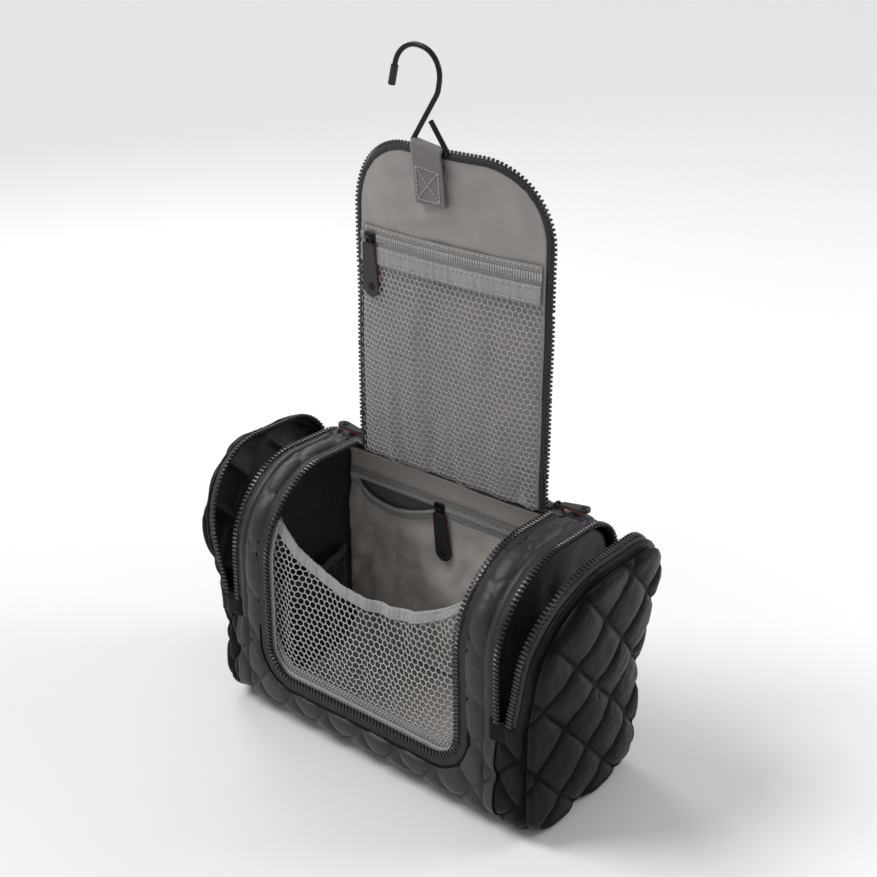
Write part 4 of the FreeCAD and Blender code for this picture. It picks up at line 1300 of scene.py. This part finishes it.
origin = on_flap(-64 * MM, POCKET_ZIP_Z, 2.6 * MM)
fit_zip("flap_pocket", origin, (1, 0, 0), (0, -1, 0), (0, 0, -1), 42, tilt=4.0)
origin = on_body(SLIDER_X, BACK_ZIP_S, -6.6 * MM)
fit_zip("back_pocket", origin, (1, 0, 0), (0, -1, 0), (0.10, 0, -0.995), 42, tilt=3.0)
for side, sign in SIDES:
    fit_zip(f"{side}_main", (sign * 84.5 * MM, 37 * MM, TOP + 1.4 * MM), (0, 1, 0), (0, 0, 1), (sign, 0, 0),
            26, tilt=-6.0)
    fit_zip(f"{side}_end", (sign * 120 * MM, BACK + 2.4 * MM, 92 * MM), (0, 0, 1), (0, 1, 0), (0, 0, -1), 26,
            tilt=4.0)

for node, material in (("hook_wire", HOOK), ("hook_tip", RUBBER)):
    mesh = frame["nodes"][node].data
    mesh.materials.clear()
    mesh.materials.append(material)

# The webbing tab: up its front, over the hook's bar and down its back, leaning with the bar.
BAR = Vector(JOINTS["hook_swing"]["pos_m"])
LEAN = math.tan(math.radians(9.2))
LOOP_X, LOOP_HALF, TAB_LOW = BAR.x - 1 * MM, 12.2 * MM, 374.5 * MM


def loop_route(reach):
    """Height and depth of the webbing: reach is how far it stands from the bar's middle."""
    low = TAB_LOW
    front = [(z, on_flap(LOOP_X, z, 0.0)[1] - 4.0 * MM) for z in np.linspace(low, BAR.z - 14 * MM, 20)]
    turns = np.radians(np.linspace(-10, 190, 16))
    over = [(BAR.z + reach * math.sin(t), BAR.y - reach * math.cos(t)) for t in turns]
    behind = [(z, on_flap(LOOP_X, z, 0.0)[1] - 2.4 * MM) for z in np.linspace(BAR.z - 14 * MM, low, 20)]
    return np.array(front + over + behind)


route = loop_route(2.9 * MM)
us = steps(-LOOP_HALF, LOOP_HALF, 1.2 * MM)
u, row = np.meshgrid(us, np.arange(len(route)))
z, y = route[row, 0], route[row, 1]
lean = smooth(z, BAR.z - 40 * MM, BAR.z) * LEAN
along = distances(route)
points = np.stack([LOOP_X + u + (z - BAR.z) * -0.02, y, z - u * lean], -1)
tab = grid_object("hook_loop_webbing", points, [WEBBING], np.stack([u, along[row]], -1), flip=True)
thicken(tab, 1.3 * MM)
finish_piece(tab, "flap_4", "grey_webbing", "hook_loop")


def on_tab(across, height):
    """A point on the tab's front face, a little proud of it."""
    z = TAB_LOW + height
    lean = smooth(z, BAR.z - 40 * MM, BAR.z) * LEAN
    y = on_flap(LOOP_X, z, 0.0)[..., 1] - 5.6 * MM
    return np.stack([LOOP_X + across, y, z - across * lean], -1)


LEFT, RIGHT, LOW_STITCH, HIGH_STITCH = -9.2 * MM, 9.2 * MM, 2.5 * MM, 23 * MM
LOW_LEFT, LOW_RIGHT = (LEFT, LOW_STITCH), (RIGHT, LOW_STITCH)
HIGH_LEFT, HIGH_RIGHT = (LEFT, HIGH_STITCH), (RIGHT, HIGH_STITCH)
BOX_AND_CROSS = ((LOW_LEFT, LOW_RIGHT), (LOW_RIGHT, HIGH_RIGHT), (HIGH_RIGHT, HIGH_LEFT),
                 (HIGH_LEFT, LOW_LEFT), (LOW_LEFT, HIGH_RIGHT), (LOW_RIGHT, HIGH_LEFT))
for number, (start, end) in enumerate(BOX_AND_CROSS):
    line = on_tab(np.linspace(start[0], end[0], 20), np.linspace(start[1], end[1], 20))
    thing = stitches(f"hook_loop_stitches_{number}", line, same(TOWARDS_FRONT, 20), dash=2.2 * MM,
                     pitch=2.9 * MM)
    finish_piece(thing, "flap_4", "grey_webbing")


# ---- floor, camera and light -----------------------------------------------------------------------------

ground = mesh_object("floor", [(-6, -6, 0), (6, -6, 0), (6, 6, 0), (-6, 6, 0)], [(0, 1, 2, 3)], [FLOOR],
                     [(0, 0), (1, 0), (1, 1), (0, 1)], smooth_shade=False)
ground.location.z = -0.3 * MM

azimuth, elevation = math.radians(40.0), math.radians(24.3)
towards = Vector((math.sin(azimuth) * math.cos(elevation), -math.cos(azimuth) * math.cos(elevation),
                  math.sin(elevation)))
aim = Vector((14.6, 0.0, 226.1)) * MM
camera = bpy.data.objects.new("camera", bpy.data.cameras.new("camera"))
camera.data.lens, camera.data.sensor_width = 60.83, 36.0
camera.data.clip_start, camera.data.clip_end = 0.01, 50.0
camera.location = aim + towards * 967.5 * MM
camera.rotation_euler = towards.to_track_quat("Z", "Y").to_euler()
bpy.context.scene.collection.objects.link(camera)
bpy.context.scene.camera = camera


def area_light(name, place, power, size, colour=(1, 1, 1)):
    light = bpy.data.objects.new(name, bpy.data.lights.new(name, "AREA"))
    light.data.energy, light.data.size, light.data.color = power, size, colour
    light.location = place
    light.rotation_euler = (Vector(place) - Vector((0, 0, 0.15))).to_track_quat("Z", "Y").to_euler()
    bpy.context.scene.collection.objects.link(light)


sun = bpy.data.objects.new("soft_sun", bpy.data.lights.new("soft_sun", "SUN"))
sun.data.energy, sun.data.angle = 1.7, math.radians(26)
sun.rotation_euler = Vector((-0.50, -0.34, 0.80)).to_track_quat("Z", "Y").to_euler()
bpy.context.scene.collection.objects.link(sun)
area_light("key", (-1.1, 0.5, 1.0), 4.5, 0.5)
area_light("rim", (1.2, 1.2, 1.1), 9, 0.7)

world = bpy.data.worlds.new("studio")
world.use_nodes = True
world.node_tree.nodes["Background"].inputs["Color"].default_value = (0.93, 0.93, 0.935, 1)
world.node_tree.nodes["Background"].inputs["Strength"].default_value = 0.50
bpy.context.scene.world = world
bpy.context.scene.view_settings.view_transform = "Standard"
